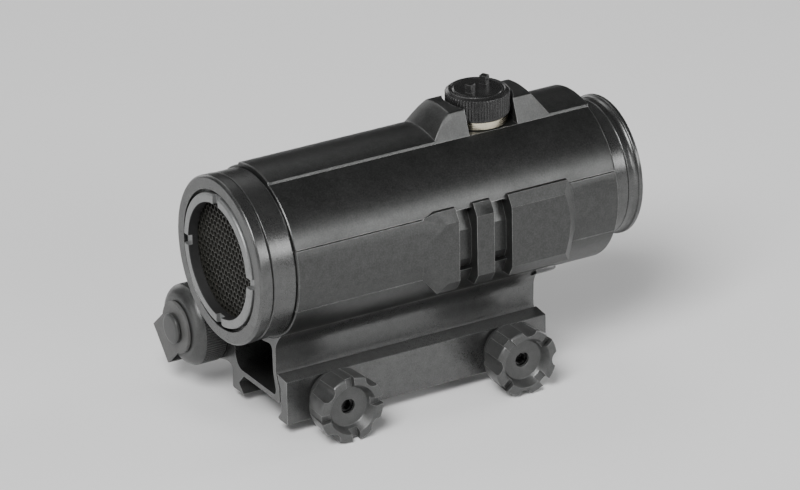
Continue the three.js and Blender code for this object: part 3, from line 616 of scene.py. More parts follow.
def side_rail():
    points = []
    for i in range(13):
        s = 2 * i / 12 - 1
        z = LAND_MID + s * (LAND_HIGH - LAND_MID)
        points.append((LAND_X, 2.8 + 1.25 * s * s, z))
        points.append((LAND_X, 39.55 - 1.5 * s * s, z))
    for angle, y in ((20.4, -1.44), (12, -1.95), (0, -2.1), (-12, -2.05), (-23.4, -1.7)):
        points.append(on_body(angle, y))
    for angle, y in ((19.6, 41.1), (12, 41.5), (0, 41.8), (-12, 41.8), (-22.5, 41.5)):
        points.append(on_body(angle, y))
    for z in (LAND_HIGH + ROOT_RISE, LAND_LOW - ROOT_RISE):
        for x in (ROOT_X, ROOT_X - 4):
            points.append((x, 1.85, z))
            points.append((x, 39.9, z))
    block = hull("rail_block", points)
    beyond = rod("beyond", BODY_R + 0.03, -60, 80, "y", TUBE, 200)
    low_angle, high_angle = PANEL_BOTTOM_ANGLE + SEAM / 2, PANEL_TOP_ANGLE - SEAM
    cut(beyond, ring_sector("zone", 1, BODY_R + 3, low_angle, high_angle, -50, 70))
    cut(block, beyond)
    cut(block, rod("core", PANEL_INNER_R + 0.4, -60, 80, "y", TUBE, 120))
    plate = ring_sector(
        "side_rail_left_panel",
        PANEL_INNER_R,
        BODY_R,
        low_angle,
        high_angle,
        FRONT_Y,
        REAR_Y,
        0.3,
    )
    add(plate, block)
    for y in SLOTS:
        floor = [
            (30, 18),
            (30, 52),
            (17.1, 52),
            (17.1, LAND_HIGH + 2.6),
            (20.1, LAND_MID + 3.95),
            (20.1, LAND_MID - 3.95),
            (17.1, LAND_LOW - 2.6),
            (17.1, 18),
        ]
        cut(plate, prism("slot", floor, "y", y, y + SLOT_WIDTH))
    bevel(plate, 0.17, 24)
    return plate


finish(side_rail(), housing_look, "sight", "housing", "side_rail_left", smooth=24)

# ---- right panel with the windage boss ----


def right_panel():
    plate = ring_sector(
        "side_panel_right_shell",
        PANEL_INNER_R,
        BODY_R,
        PANEL_BOTTOM_ANGLE + SEAM / 2,
        PANEL_TOP_ANGLE - SEAM,
        FRONT_Y,
        REAR_Y,
        0.3,
    )
    turn(plate, Matrix.Diagonal((-1, 1, 1, 1)))
    plate.data.flip_normals()
    at = (0, TURRET_Y, AXIS_Z)
    outline = [(0, 19), (9.5, 19, 0), (9.5, 21.5, 0.5), (8.9, 22.1, 0.3), (0, 22.1)]
    boss = lathe("boss", soften(outline, 0.0, 4, False), "-x", at, 120)
    combine(boss, box("trim", (-40, 0), (0, 60), (AXIS_Z - 7.4, AXIS_Z + 7.4)), "INTERSECT")
    add(plate, boss)
    for radius, low in ((7.8, 20.6), (TURRET_BORE_R, 10)):
        cut(plate, rod("seat", radius, low, 40, "-x", at, 96))
    bevel(plate, 0.13, 45)
    return plate


finish(right_panel(), housing_look, "sight", "housing", "side_panel_right", smooth=28)

# ---- rings of the objective and eyepiece ends ----


def ring(name, profile, look, body, slot, node, segments=200, radius=0.25):
    made = lathe(name, soften(profile, radius, 4), "y", TUBE, segments)
    return finish(made, look, body, slot, node, smooth=25)


ring(
    "front_ring_body",
    [
        (16.8, -43.72, 0),
        (21.0, -43.72, 0),
        (21.3, -43.5, 0.08),
        (21.3, -37.62, 0.12),
        (20.75, -37.62, 0.05),
        (20.75, -37.25, 0),
        (16.9, -37.25, 0),
        (16.9, -35.2, 0.2),
        (15.4, -35.2, 0.2),
        (15.4, -41.2, 0.2),
        (16.8, -41.2, 0),
    ],
    ring_look,
    "sight",
    "ring",
    "front_ring",
)
ring(
    "objective_bezel_body",
    [
        (16.7, -43.92, 0),
        (21.1, -43.92, 0),
        (21.45, -44.15, 0.08),
        (21.5, -46.85, 0.22),
        (20.95, -47.4, 0.2),
        (18.05, -47.4, 0.12),
        (18.05, -45.3, 0),
        (16.7, -45.3, 0),
    ],
    ring_look,
    "sight",
    "ring",
    "objective_bezel",
)
front_seal = [(17.6, -43.92), (18.0, -43.92), (18.0, -43.76), (17.6, -43.76)]
ring("front_seal_ring", front_seal, rubber_look, "sight", "rubber", "front_seal", 96, 0.04)
ring(
    "eyepiece_ring_body",
    [
        (14.6, 50.5, 0.2),
        (16.8, 50.5, 0.2),
        (16.8, 54.55, 0),
        (17.1, 54.55, 0),
        (17.6, 55.0, 0.3),
        (17.6, 59.9, 0.08),
        (17.35, 60.05, 0.05),
        (14.6, 60.05, 0),
    ],
    ring_look,
    "sight",
    "ring",
    "eyepiece_ring",
)
ring(
    "eyepiece_flange_body",
    [
        (14.9, 60.12, 0),
        (17.3, 60.12, 0.1),
        (17.55, 60.35, 0.15),
        (17.4, 61.2, 0.5),
        (17.3, 62.0, 0.6),
        (17.6, 62.75, 0.4),
        (18.05, 63.05, 0.2),
        (18.05, 64.1, 0.3),
        (16.6, 64.1, 0.2),
        (14.9, 61.6, 0.2),
    ],
    ring_look,
    "sight",
    "ring",
    "eyepiece_flange",
)
# Rings of rectangular section: inner and outer radius, front and rear, and the rounding of the corners.
HIDDEN_LOOKS = {"rubber": rubber_look, "black": inside_look, "steel": steel_look}
for name, inner, outer, front, rear, body, slot, node, segments, corner in (
    ("rear_seal_ring", 16.0, 16.7, 49.4, 50.3, "sight", "rubber", "rear_seal", 96, 0.2),
    ("window_retainer_ring", 13.2, 14.4, 56.2, 57.6, "sight", "black", "window_retainer", 128, 0.15),
    ("inner_tube_body", 14.2, 15.2, -33.8, 42.0, "inner_tube", "black", "inner_tube", 96, 0.2),
    ("lens_retainer_ring", 12.9, 14.0, -28.9, -26.9, "inner_tube", "black", "lens_retainer", 96, 0.2),
    ("pivot_ring_body", 15.5, 16.75, -32.9, -30.1, "pivot_ring", "steel", "pivot_ring", 96, 0.3),
):
    section = [(inner, front), (outer, front), (outer, rear), (inner, rear)]
    ring(name, section, HIDDEN_LOOKS[slot], body, slot, node, segments, corner)


def filter_ring():
    profile = [
        (14.8, -47.9, 0.25),
        (17.2, -47.9, 0.7),
        (17.2, -45.5, 0),
        (16.4, -45.5, 0),
        (16.4, -42.6, 0.2),
        (15.75, -42.6, 0),
        (15.75, -45.15, 0),
        (14.8, -45.15, 0.1),
    ]
    made = lathe("filter_ring_body", soften(profile, 0.2, 5), "y", TUBE, 200)
    for i in range(4):
        notch = box("notch", (13.8, 18.4), (-49, -46.75), (-1.3, 1.3))
        turn(notch, Matrix.Translation(Vector(TUBE) * MM) @ Matrix.Rotation(i * math.pi / 2, 4, "Y"))
        cut(made, notch)
    bevel(made, 0.12, 45)
    return made


def blacken(piece, look, reach):
    """The faces within a radius of the tube's axis that look inwards, given a second, darker material."""
    piece.data.materials.append(look)
    for face in piece.data.polygons:
        away = Vector((face.center.x, 0, face.center.z - AXIS_Z * MM))
        if away.length < reach * MM and face.normal.dot(away.normalized()) < -0.6:
            face.material_index = 1


grey_ring = finish(filter_ring(), filter_look, "filter_ring", "filter_ring", "filter_ring", smooth=28)
blacken(grey_ring, inside_look, 15.3)


def honeycomb():
    """A sheet of six-sided through cells, trimmed to the ring's recess."""
    pitch, wall, edge = 1.65, 0.2, 15.35
    front, back = -45.0, -42.9
    rows = int(edge / (pitch * 0.866)) + 2
    corners = [(math.cos(math.radians(30 + 60 * k)), math.sin(math.radians(30 + 60 * k))) for k in range(6)]
    outer = pitch / math.sqrt(3)
    hole = outer - wall / math.sqrt(3)
    points, faces = [], []
    for row in range(-rows, rows + 1):
        for column in range(-rows - 2, rows + 3):
            cx = (column + 0.5 * (row % 2)) * pitch
            cz = row * pitch * math.sqrt(3) / 2
            if math.hypot(cx, cz) > edge - 0.2:
                continue
            start = len(points)
            for radius in (outer, hole):
                for y in (front, back):
                    for dx, dz in corners:
                        x, z = cx + radius * dx, cz + radius * dz
                        limit = edge if radius == outer else edge - 0.12
                        d = math.hypot(x, z)
                        if d > limit:
                            x, z = x * limit / d, z * limit / d
                        points.append((x, y, AXIS_Z + z))
            for k in range(6):
                j = (k + 1) % 6
                of, ob, hf, hb = (start + 6 * n for n in range(4))
                faces.append((of + k, of + j, hf + j, hf + k))
                faces.append((ob + k, hb + k, hb + j, ob + j))
                faces.append((hf + k, hf + j, hb + j, hb + k))
    made = make("honeycomb_sheet", points, faces)
    shape = bmesh.new()
    shape.from_mesh(made.data)
    bmesh.ops.remove_doubles(shape, verts=shape.verts, dist=2e-6)
    rim = [e for e in shape.edges if len(e.link_faces) == 1]
    front_rim = [e for e in rim if all(v.co.y < (front + back) / 2 * MM for v in e.verts)]
    grown = bmesh.ops.extrude_edge_only(shape, edges=front_rim)
    for v in [g for g in grown["geom"] if isinstance(g, bmesh.types.BMVert)]:
        v.co.y = back * MM
    bmesh.ops.remove_doubles(shape, verts=shape.verts, dist=2e-6)
    bmesh.ops.recalc_face_normals(shape, faces=shape.faces)
    shape.to_mesh(made.data)
    shape.free()
    return made


finish(honeycomb(), screen_look, "filter_screen", "black", "honeycomb_screen", smooth=20, weighted=False)

# ---- glass and small parts behind it ----


def glass_disc(name, radius, front, bulge, rear, at, look, body, slot, node):
    face = [(0, front - bulge)]
    face += [(radius * t, front - bulge * (1 - t * t)) for t in (0.2, 0.4, 0.6, 0.8, 0.96)]
    face += [(radius, front + 0.15), (radius, rear), (0, rear)]
    return finish(lathe(name, face, "y", at, 96), look, body, slot, node, smooth=20)


glass_disc(
    "objective_lens_body", 14.0, -31.4, 1.4, -29.3, TUBE, lens_look, "inner_tube", "glass", "objective_lens"
)
glass_disc("rear_window_body", 14.4, 54.15, 0.0, 56.0, TUBE, window_look, "sight", "glass", "rear_window")

# ---- turrets ----

CAP_BASE, CAP_SHOULDER, CAP_TOP, POST_TOP = 22.85, 28.5, 29.3, 31.4
CAP_R = 8.1
POST_ANGLE, POST_AWAY = 118, 3.36
TURRET_AT = (0, TURRET_Y, AXIS_Z)
RIBS = 64


def ribbed(radius, height, angle):
    """Fine upright ribs between the cap's two plain bands."""
    if radius < CAP_R - 0.05 or not CAP_BASE + 0.5 < height < CAP_SHOULDER - 0.05:
        return radius
    wave = math.cos(RIBS * angle)
    return radius - 0.11 + 0.17 * (wave if wave > 0 else wave * 0.5)


def turret_cap(kind, axis):
    profile = [
        (0, CAP_TOP - 0.1), (5.85, CAP_TOP - 0.1),
        (6.15, CAP_TOP - 0.25), (6.3, CAP_TOP - 0.42),
        (6.75, CAP_TOP - 0.42), (7.0, CAP_TOP - 0.2),
        (7.25, CAP_TOP - 0.25), (7.95, CAP_SHOULDER + 0.05),
        (CAP_R, CAP_SHOULDER - 0.1), (CAP_R, CAP_SHOULDER - 0.55),
        (CAP_R, CAP_BASE + 1.0), (CAP_R, CAP_BASE + 0.55),
        (7.95, CAP_BASE + 0.4), (7.95, CAP_BASE + 0.15),
        (7.8, CAP_BASE), (7.0, CAP_BASE),
        (7.0, 26.6), (0, 26.6),
    ]
    cap = lathe(kind + "_cap_body", profile, axis, TURRET_AT, RIBS * 8, ribbed)
    posts = []
    square = soften([(-0.98, -0.98), (0.98, -0.98), (0.98, 0.98), (-0.98, 0.98)], 0.25, 3)
    for side in (1, -1):
        post = prism("post", square, "z", 0, POST_TOP - CAP_TOP + 0.7)
        bevel(post, 0.2, 60, 3)
        about = Matrix.Rotation(math.radians(POST_ANGLE), 4, "Z")
        turn(post, about @ Matrix.Translation(Vector((side * POST_AWAY, 0, CAP_TOP - 0.7)) * MM))
        if axis == "-x":
            turn(post, Matrix.Rotation(-math.pi / 2, 4, "Y"))
        turn(post, Matrix.Translation(Vector(TURRET_AT) * MM))
        posts.append(post)
    add(cap, *posts)
    return cap


for kind, axis in (("elevation", "z"), ("windage", "-x")):
    finish(turret_cap(kind, axis), cap_look, kind + "_cap", "black", kind + "_cap", smooth=24)
    collar = [
        (5.2, 17.6, 0),
        (6.5, 17.6, 0),
        (6.5, 20.7, 0),
        (7.5, 20.7, 0.2),
        (7.5, 22.7, 0.25),
        (6.6, 22.7, 0),
        (6.6, 25.4, 0.25),
        (5.2, 25.4, 0.2),
        (5.2, 23.5, 0),
        (3.0, 23.5, 0.2),
        (3.0, 19.0, 0),
        (5.2, 19.0, 0),
    ]
    finish(
        lathe(kind + "_collar_body", soften(collar, 0.2, 3), axis, TURRET_AT, 96),
        champagne_look,
        "sight",
        "champagne",
        kind + "_collar",
        smooth=25,
    )
    dial_profile = [(0, 25.4), (4.9, 25.4, 0.3), (4.9, 23.8, 0.2), (2.7, 23.8)]
    dial_profile += [(2.7, 18.0, 0.3), (1.35, 18.0), (1.35, 22.5), (0, 22.5)]
    dial = lathe(kind + "_dial_body", soften(dial_profile, 0.05, 3, False), axis, TURRET_AT, 96)
    groove = box("groove", (-6, 6), (-0.6, 0.6), (24.9, 26.0))
    if axis == "-x":
        turn(groove, Matrix.Rotation(-math.pi / 2, 4, "Y"))
    turn(groove, Matrix.Translation(Vector(TURRET_AT) * MM))
    cut(dial, groove)
    finish(bevel(dial, 0.1, 50), steel_look, kind + "_dial", "steel", kind + "_dial", smooth=28)

# ---- mount: saddle, channel, clamp jaw and battery compartment ----

SADDLE_R = 21.95
SADDLE_X = 12.8
MOUNT_HALF = 37.2
BOSS_R = 10.4
BOSS_REAR = 3.5
BUTTON_Z = 12.6
BUTTON_YS = (-19, -9)
SCREW_YS = (-30, -10, 10, 30)
LUG_FACE, STRIP_AWAY = 11.0, 12.1
ANCHOR_Y = -24.2
TETHER_FRONT, TETHER_T = -47.6, 0.95
STRIP_REAR = -14.5


def saddle_z(x):
    return AXIS_Z - math.sqrt(SADDLE_R**2 - x * x)


def curve(a, control, b, steps=10):
    out = []
    for i in range(steps + 1):
        t = i / steps
        out.append(tuple(a[k] * (1 - t) ** 2 + control[k] * 2 * t * (1 - t) + b[k] * t * t for k in (0, 1)))
    return out


def mount_outline():
    right = (SADDLE_X, saddle_z(SADDLE_X))
    left = (-SADDLE_X, saddle_z(SADDLE_X))
    out = curve(right, (9.1, 16.4), (8.9, 13.6), 14)
    corners = [(8.9, 13.6, 0), (8.7, 7.7, 0.8), (10.35, 4.2, 0.5), (10.35, 0, 0.35), (-7.95, 0, 0.15)]
    corners += [(-10.75, -2.8, 0.5), (-8.4, -5.2, 0.3), (-8.8, -5.25, 0.1)]
    corners += [(-13.9, -5.25, 0.6), (-13.9, 14.6, 0)]
    out += soften(corners, 0.3, 4, False)[1:-1]
    out += curve((-13.9, 14.6), (-13.9, 18.0), left, 12)
    edge = math.asin(SADDLE_X / SADDLE_R)
    for i in range(1, 40):
        a = -math.pi / 2 - edge + 2 * edge * i / 40
        out.append((SADDLE_R * math.cos(a), AXIS_Z + SADDLE_R * math.sin(a)))
    return out


def channel_outline():
    roof = SADDLE_R + 1.2
    at = AXIS_Z - math.sqrt(roof**2 - 25)
    other = AXIS_Z - math.sqrt(roof**2 - 42.25)
    out = [(-9.0, 1.3), (7.0, 1.3)]
    out += curve((7.0, 1.3), (8.7, 1.3), (8.6, 3.1))[1:]
    out += [(7.5, 7.3), (7.35, 13.0)]
    out += curve((7.35, 13.0), (7.2, 14.9), (5.0, at))[1:]
    out += curve((5.0, at), (0, AXIS_Z - roof - 0.55), (-6.5, other))[1:]
    out += curve((-6.5, other), (-12.1, 14.6), (-12.1, 10.0))[1:]
    out += [(-12.1, 5.0)]
    out += curve((-12.1, 5.0), (-11.6, 1.6), (-9.0, 1.3))[1:-1]
    return out


def tether_frame(piece):
    """Turned from +X towards +Z by the tether's direction, at the cell's axis."""
    return turn(piece, Matrix.Translation(Vector(CELL) * MM) @ Matrix.Rotation(-math.radians(222), 4, "Y"))


def mount_base():
    base = prism("mount_base_body", mount_outline(), "y", -MOUNT_HALF, MOUNT_HALF)
    web = [(-12.6, -1.2), (-13.9, -0.6)]
    web += curve((-13.9, -0.6), (-14.0, 1.15), (-16.4, 0.95))[1:]
    web += curve((-16.4, 0.95), (-18.0, 0.8), (-20.0, 0.1))[1:]
    web += [(-24.0, 8), (-20.0, 18.6)]
    web += curve((-20.0, 18.6), (-15.5, 16.4), (-12.6, 17.0))[1:]
    add(base, prism("web", web, "y", FRONT_Y, BOSS_REAR))
    boss = [(0, FRONT_Y), (BOSS_R, FRONT_Y, 0.25), (BOSS_R, BOSS_REAR, 0.6), (0, BOSS_REAR)]
    add(base, lathe("boss", soften(boss, 0, 4, False), "y", CELL, 160))
    pad = [(-25.5, 8.6), (-13.5, 8.6), (-2.5, 8.6), (-2.5, 16.6), (-25.5, 16.6)]
    add(base, prism("pad", soften(pad, 1.2, 4), "x", -35.4, -30))
    lug = box("lug", (LUG_FACE - 1.6, LUG_FACE), (-27.2, -21.2), (-4.5, 4.5))
    add(base, tether_frame(lug))
    lip = []
    half_angle = math.asin(SADDLE_X / SADDLE_R)
    for y, inset in ((35.5, 0), (40.6, 0), (41.0, 0.15), (41.25, 0.45)):
        loop = []
        for way, r in ((1, SADDLE_R + 0.9 - inset), (-1, SADDLE_R - 1)):
            for i in range(33):
                a = -math.pi / 2 + way * half_angle * (2 * i / 32 - 1)
                loop.append((r * math.cos(a), y, AXIS_Z + r * math.sin(a)))
        lip.append(loop)
    add(base, loft("lip", lip))
    cut(base, rod("seat", SADDLE_R, -60, 60, "y", TUBE, 240))
    cut(base, prism("channel", channel_outline(), "y", -60, 60))
    for y in (SCREW_YS[0], SCREW_YS[-1]):
        cut(base, rod("screw_way", 4.1, 1.4, 14.6, "z", (3.9, y, 0), 64))
    rear = BOSS_REAR - 1.6
    well = [(0, FRONT_Y - 1), (9.65, FRONT_Y - 1), (9.65, -31.5), (8.9, -31.5), (8.9, rear)]
    well += [(9.2, rear), (9.2, BOSS_REAR + 1), (0, BOSS_REAR + 1)]
    cut(base, lathe("cell_well", well, "y", CELL, 120))
    for y in (-STUD_Y, STUD_Y):
        cut(base, rod("stud_hole", 2.6, -13.4, 30, "x", (0, y, STUD_Z), 48))
    for y in SCREW_YS:
        cut(base, rod("screw_hole", 1.6, 12, 20, "z", (0, y, 0), 32))
    for y in BUTTON_YS:
        cut(base, rod("button_hole", 3.4, 33.9, 40, "-x", (0, y, BUTTON_Z), 48))
    cut(base, tether_frame(rod("anchor_hole", 1.3, 7.9, 14, "x", (0, ANCHOR_Y, 0), 24)))
    bevel(base, 0.16, 48)
    return base


finish(mount_base(), mount_look, "sight", "housing", "mount_base", smooth=26)


def clamp_plate():
    outline = [(9.4, 7.55, 0.25), (14.15, 7.05, 0.35), (14.15, -4.6, 0.45), (9.65, -4.6, 0.2)]
    outline += [(9.3, -4.2, 0.1), (11.0, -2.35, 0.4), (11.0, 4.2, 0.2)]
    plate = prism("clamp_plate_body", soften(outline, 0.3, 3), "y", -MOUNT_HALF, MOUNT_HALF + 0.25)
    for y in (-STUD_Y, STUD_Y):
        at = (0, y, STUD_Z)
        cut(plate, lathe("hole", [(0, 5), (4.0, 5), (4.0, 12.6), (2.7, 12.6), (2.7, 20), (0, 20)], "x", at, 48))
    bevel(plate, 0.22, 50)
    return plate


finish(clamp_plate(), mount_look, "clamp", "housing", "clamp_plate", smooth=28)

# ---- clamp studs and knobs ----

KNOB_R, KNOB_RIM, KNOB_FLOOR = 8.8, 25.8, 23.1
FLUTE_AWAY, FLUTE_R = 9.45, 2.25


def hexagon(across, low, high, at, phase=0.0):
    r = across / math.sqrt(3)
    outline = [(r * math.cos(phase + k * math.pi / 3), r * math.sin(phase + k * math.pi / 3)) for k in range(6)]
    made = prism("hexagon", outline, "x", low, high)
    return turn(made, Matrix.Translation(Vector(at) * MM))


def clamp_stud(name, y, phase):
    at = (0, y, STUD_Z)
    outline = [(0, -13.1), (2.4, -13.1, 0.3), (2.4, 22.0, 0.3), (0, 22.0)]
    body = lathe(name, soften(outline, 0, 3, False), "x", at, 64)
    cut(body, hexagon(2.6, 20.4, 23, at, phase))
    return body


def knob(name, y, phase):
    profile = [
        (2.6, 14.6, 0.1),
        (6.2, 14.6, 0.2),
        (6.6, 17.2, 0.3),
        (8.0, 17.8, 0.25),
        (8.4, 18.4, 0.4),
        (KNOB_R, 25.3, 0.5),
        (8.45, KNOB_RIM, 0.3),
        (6.5, KNOB_RIM, 0.2),
        (5.25, KNOB_FLOOR + 0.05, 0.25),
        (1.9, KNOB_FLOOR, 0.1),
        (1.9, 22.3, 0.0),
        (2.6, 22.3, 0.0),
    ]
    at = (0, y, STUD_Z)
    made = lathe(name, soften(profile, 0.2, 4), "x", at, 192)
    for i in range(4):
        angle = phase + i * math.pi / 2
        flute = (0, y + FLUTE_AWAY * math.cos(angle), STUD_Z + FLUTE_AWAY * math.sin(angle))
        cut(made, rod("flute", FLUTE_R, 14, 27, "x", flute, 64))
        between = Matrix.Translation(Vector(at) * MM) @ Matrix.Rotation(angle + math.pi / 4, 4, "X")
        cut(made, turn(box("slot", (24.1, 27), (4.5, 11), (-1.15, 1.15)), between))
        channel = soften([(11, -1.3), (8.1, -1.15), (8.1, 1.15), (11, 1.3)], 0.4, 3)
        cut(made, turn(prism("channel", channel, "x", 16, 27), between))
    bevel(made, 0.16, 40)
    return made


for kind, y, phase in (("front", -STUD_Y, 0.28 * math.pi), ("rear", STUD_Y, 0.47 * math.pi)):
    stud = clamp_stud("clamp_stud_%s_body" % kind, y, phase)
    finish(stud, oxide_look, "sight", "steel", "clamp_stud_" + kind, smooth=28)
    wheel = knob("clamp_knob_%s_body" % kind, y, phase)
    finish(wheel, knob_look, kind + "_knob", "knob", "clamp_knob_" + kind, smooth=28)

# ---- battery cap, its tether and stud ----

CAP_TOP_Y = -46.5
KNURLS = 84


def knurled(radius, height, angle):
    if radius < BOSS_R - 0.05 or not -43.95 < height < -38.7:
        return radius
    wave = abs(math.sin(KNURLS * angle / 2))
    return radius - 0.22 + 0.26 * wave


def battery_cap():
    profile = [
        (1.7, CAP_TOP_Y + 0.1), (6.9, CAP_TOP_Y),
        (7.7, CAP_TOP_Y + 0.06), (8.5, CAP_TOP_Y + 0.32),
        (9.2, CAP_TOP_Y + 0.75), (9.75, CAP_TOP_Y + 1.25),
        (10.15, CAP_TOP_Y + 1.8), (10.34, CAP_TOP_Y + 2.2),
        (BOSS_R, CAP_TOP_Y + 2.4), (BOSS_R, -43.9),
        (BOSS_R, -43.5), (BOSS_R, -39.2),
        (BOSS_R, -38.8), (10.3, -38.45),
        (10.0, -38.1), (9.4, -38.0),
        (9.4, -32.1), (8.7, -32.1),
        (8.7, -43.4), (1.7, -43.4),
    ]
    return lathe("battery_cap_body", profile, "y", CELL, KNURLS * 6, knurled)


finish(battery_cap(), battery_look, "battery_cap", "housing", "battery_cap", smooth=26)

stud_profile = [
    (0, -49.1),
    (3.3, -49.1, 0.5),
    (3.95, -48.85, 0.2),
    (3.95, -48.1, 0.25),
    (3.4, -47.75),
    (1.4, -47.75),
    (1.4, -45.3),
    (0, -45.3),
]
cap_stud = lathe("cap_stud_body", soften(stud_profile, 0.1, 4, False), "y", CELL, 96)
finish(cap_stud, battery_look, "cap_tether", "ring", "cap_stud", smooth=25)


def tether():
    """A disc under the stud, a tongue, and a strip folded back along the compartment."""
    disc_rear = TETHER_FRONT + TETHER_T
    disc = [(1.8, TETHER_FRONT), (6.75, TETHER_FRONT, 0.25), (6.75, disc_rear, 0.2), (1.8, disc_rear)]
    made = lathe("tether_body", soften(disc, 0, 3), "y", (0, 0, 0), 96)
    bend = 1.2
    path = [(2.5, TETHER_FRONT + TETHER_T / 2), (STRIP_AWAY - TETHER_T / 2 - bend, TETHER_FRONT + TETHER_T / 2)]
    middle = (STRIP_AWAY - TETHER_T / 2, TETHER_FRONT + TETHER_T / 2)
    path = [path[0]] + curve(path[1], middle, (middle[0], middle[1] + bend), 8) + [(middle[0], STRIP_REAR)]
    inner, outer = [], []
    for i, (u, y) in enumerate(path):
        before, after = path[max(0, i - 1)], path[min(len(path) - 1, i + 1)]
        along = Vector((after[0] - before[0], after[1] - before[1])).normalized()
        side = Vector((along.y, -along.x)) * TETHER_T / 2
        outer.append((u + side.x, y + side.y))
        inner.append((u - side.x, y - side.y))
    outline = outer + inner[::-1]
    half = 5.3
    band = prism("band", outline, "z", -half, half)
    add(made, band)
    front, rear = ANCHOR_Y - 1.5, ANCHOR_Y + 7.5
    slot = soften([(front, -1.5), (rear, -1.5), (rear, 1.5), (front, 1.5)], 1.45, 6)
    cut(made, prism("slot", slot, "x", STRIP_AWAY - 3, STRIP_AWAY + 3))
    bevel(made, 0.16, 50)
    return tether_frame(made)


finish(tether(), tether_look, "cap_tether", "rubber", "tether", smooth=28)

screw_profile = [(0, 12.9), (1.6, 12.9, 0.3), (2.2, 12.6, 0.3), (2.3, 12.2, 0.05), (1.0, 12.2, 0)]
screw_profile += [(1.0, 9.1, 0.2), (0, 9.1)]
screw = lathe("tether_screw_body", soften(screw_profile, 0.1, 3, False), "x", (0, ANCHOR_Y, 0), 48)
cut(screw, hexagon(1.6, 12.3, 14, (0, ANCHOR_Y, 0)))
finish(tether_frame(screw), steel_look, "sight", "steel", "tether_screw", smooth=28)

# ---- brightness buttons ----


def button(name, y):
    dome = [(0, 36.3), (1.4, 36.25), (2.3, 36.1), (2.85, 35.8), (3.15, 35.3), (3.15, 34.7), (0, 34.7)]
    return lathe(name, dome, "-x", (0, y, BUTTON_Z), 64)


def raised_mark(y, upright):
    bars = [((-0.22, 0.22), (-1.1, 1.1))] if upright else []
    bars.append(((-1.1, 1.1), (-0.22, 0.22)))
    out = []
    for dy, dz in bars:
        tall = (BUTTON_Z + dz[0], BUTTON_Z + dz[1])
        out.append(box("bar", (-36.34, -35.9), (y + dy[0], y + dy[1]), tall))
    return out


for kind, y, upright in (("up", BUTTON_YS[1], True), ("down", BUTTON_YS[0], False)):
    made = button(kind + "_button_body", y)
    add(made, *raised_mark(y, upright))
    finish(made, rubber_look, kind + "_button", "rubber", kind + "_button", smooth=30)

# ---- screws and hidden parts ----

for number, y in enumerate(SCREW_YS, 1):
    head = [(0, 11.5), (2.2, 11.5, 0.2), (2.6, 12.0, 0.2), (2.6, 13.05), (1.4, 13.05)]
    head += [(1.4, 19.0, 0.3), (0, 19.0)]
    made = lathe("mount_screw_%d_body" % number, soften(head, 0, 3, False), "z", (0, y, 0), 48)
    hole = [(1.386 * math.cos(k * math.pi / 3), y + 1.386 * math.sin(k * math.pi / 3)) for k in range(6)]
    cut(made, prism("hex", hole, "z", 11, 12.4))
    finish(made, steel_look, "sight", "steel", "mount_screw_%d" % number, smooth=28)

# Parts that stay hidden keep their own mesh and take a detailed surface.
PLAIN = {
    "battery_spring": steel_look,
    "clamp_spring_front": steel_look,
    "clamp_spring_rear": steel_look,
    "return_spring": steel_look,
    "elevation_plunger": steel_look,
    "windage_plunger": steel_look,
    "elevation_seal": rubber_look,
    "windage_seal": rubber_look,
    "battery_cap_gasket": rubber_look,
    "cap_contact": champagne_look,
    "circuit_board": board_look,
    "battery_plug": plastic_look,
    "emitter_block": plastic_look,
    "led": emitter_look,
    "battery_cell": cell_look,
}
for name, look in PLAIN.items():
    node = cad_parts[name]
    node.data.materials.clear()
    node.data.materials.append(look)

# ---- floor, light and camera ----


def floor_look():
    look, tree, shader = nodes_of("pale_floor")
    where = tree.nodes.new("ShaderNodeTexCoord").outputs["Object"]
    cloud = noise(tree, where, 6, 3.0)
    colour = mix(tree, spread(tree, cloud, 0, 1), (0.86, 0.86, 0.86), (0.89, 0.89, 0.89))
    link(tree, colour, shader.inputs["Base Color"])
    shader.inputs["Roughness"].default_value = 0.85
    shader.inputs["Specular IOR Level"].default_value = 0.2
    return look


FLOOR_Z, FLOOR_HALF = -7.62, 6000
floor_corners = [
    (sx * FLOOR_HALF, sy * FLOOR_HALF, FLOOR_Z) for sx, sy in ((-1, -1), (1, -1), (1, 1), (-1, 1))
]
floor = make("floor", floor_corners, [(0, 1, 2, 3)])
floor.data.materials.append(floor_look())



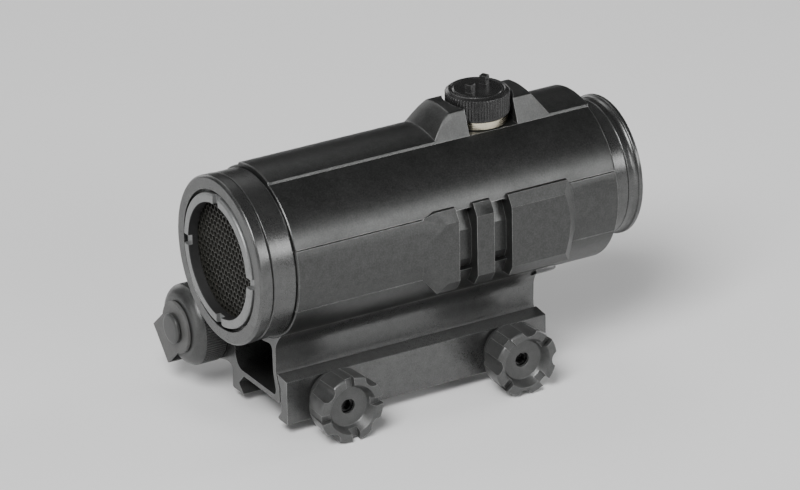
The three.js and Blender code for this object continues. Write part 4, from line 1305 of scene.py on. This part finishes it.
def studio():
    """A pale horizon that falls off to a dim ceiling."""
    world = bpy.data.worlds.new("studio")
    world.use_nodes = True
    tree = world.node_tree
    where = tree.nodes.new("ShaderNodeTexCoord")
    split = tree.nodes.new("ShaderNodeSeparateXYZ")
    link(tree, where.outputs["Generated"], split.inputs[0])
    level = spread(tree, split.outputs["Z"], 0.34, 0.17, 0.0, 0.75)
    link(tree, level, tree.nodes["Background"].inputs["Strength"])
    bpy.context.scene.world = world


studio()


def soft_light(name, toward, distance, width, height, power):
    """A soft panel that stands in the given direction and faces the sight."""
    lamp = bpy.data.lights.new(name, "AREA")
    lamp.shape = "RECTANGLE"
    lamp.size = width
    lamp.size_y = height
    lamp.energy = power
    stand = bpy.data.objects.new(name, lamp)
    way = Vector(toward).normalized()
    centre = Vector((0, 0.008, 0.03))
    stand.location = centre + way * distance
    stand.rotation_euler = way.to_track_quat("Z", "Y").to_euler()
    bpy.context.scene.collection.objects.link(stand)
    return stand


LIGHT_AWAY = 1.3
for name, toward, width, height, power in (
    ("side_panel", (0.978, 0.0, 0.208), 0.6, 0.6, 2.4),
    ("rear_panel", (0.0, 0.978, 0.208), 0.6, 0.6, 10.0),
    ("far_panel", (-0.978, 0.0, 0.208), 0.6, 0.6, 2.4),
    ("front_panel", (0.0, -0.978, 0.208), 0.6, 0.6, 3.0),
    ("high_far_panel", (-0.659, 0.116, 0.743), 0.6, 0.6, 2.4),
    ("high_front_left_panel", (-0.513, -0.43, 0.743), 0.6, 0.6, 0.8),
    ("high_front_right_panel", (0.43, -0.513, 0.743), 0.6, 0.6, 20.0),
    ("rear_right_panel", (0.82, 0.45, 0.36), 0.5, 0.35, 4.3),
):
    soft_light(name, toward, LIGHT_AWAY, width, height, power)

camera = bpy.data.cameras.new("camera")
camera.lens = 273.45
camera.sensor_width = 36
camera.clip_start = 0.05
camera.clip_end = 40
eye = bpy.data.objects.new("camera", camera)
right = Vector((0.50311, 0.86402, -0.01870))
up = Vector((-0.34479, 0.22052, 0.91241))
back = Vector((0.79246, -0.45260, 0.40885))
turned = Matrix((right, up, back)).transposed().to_4x4()
eye.matrix_world = Matrix.Translation((1.19958, -0.68131, 0.64783)) @ turned
bpy.context.scene.collection.objects.link(eye)
bpy.context.scene.camera = eye
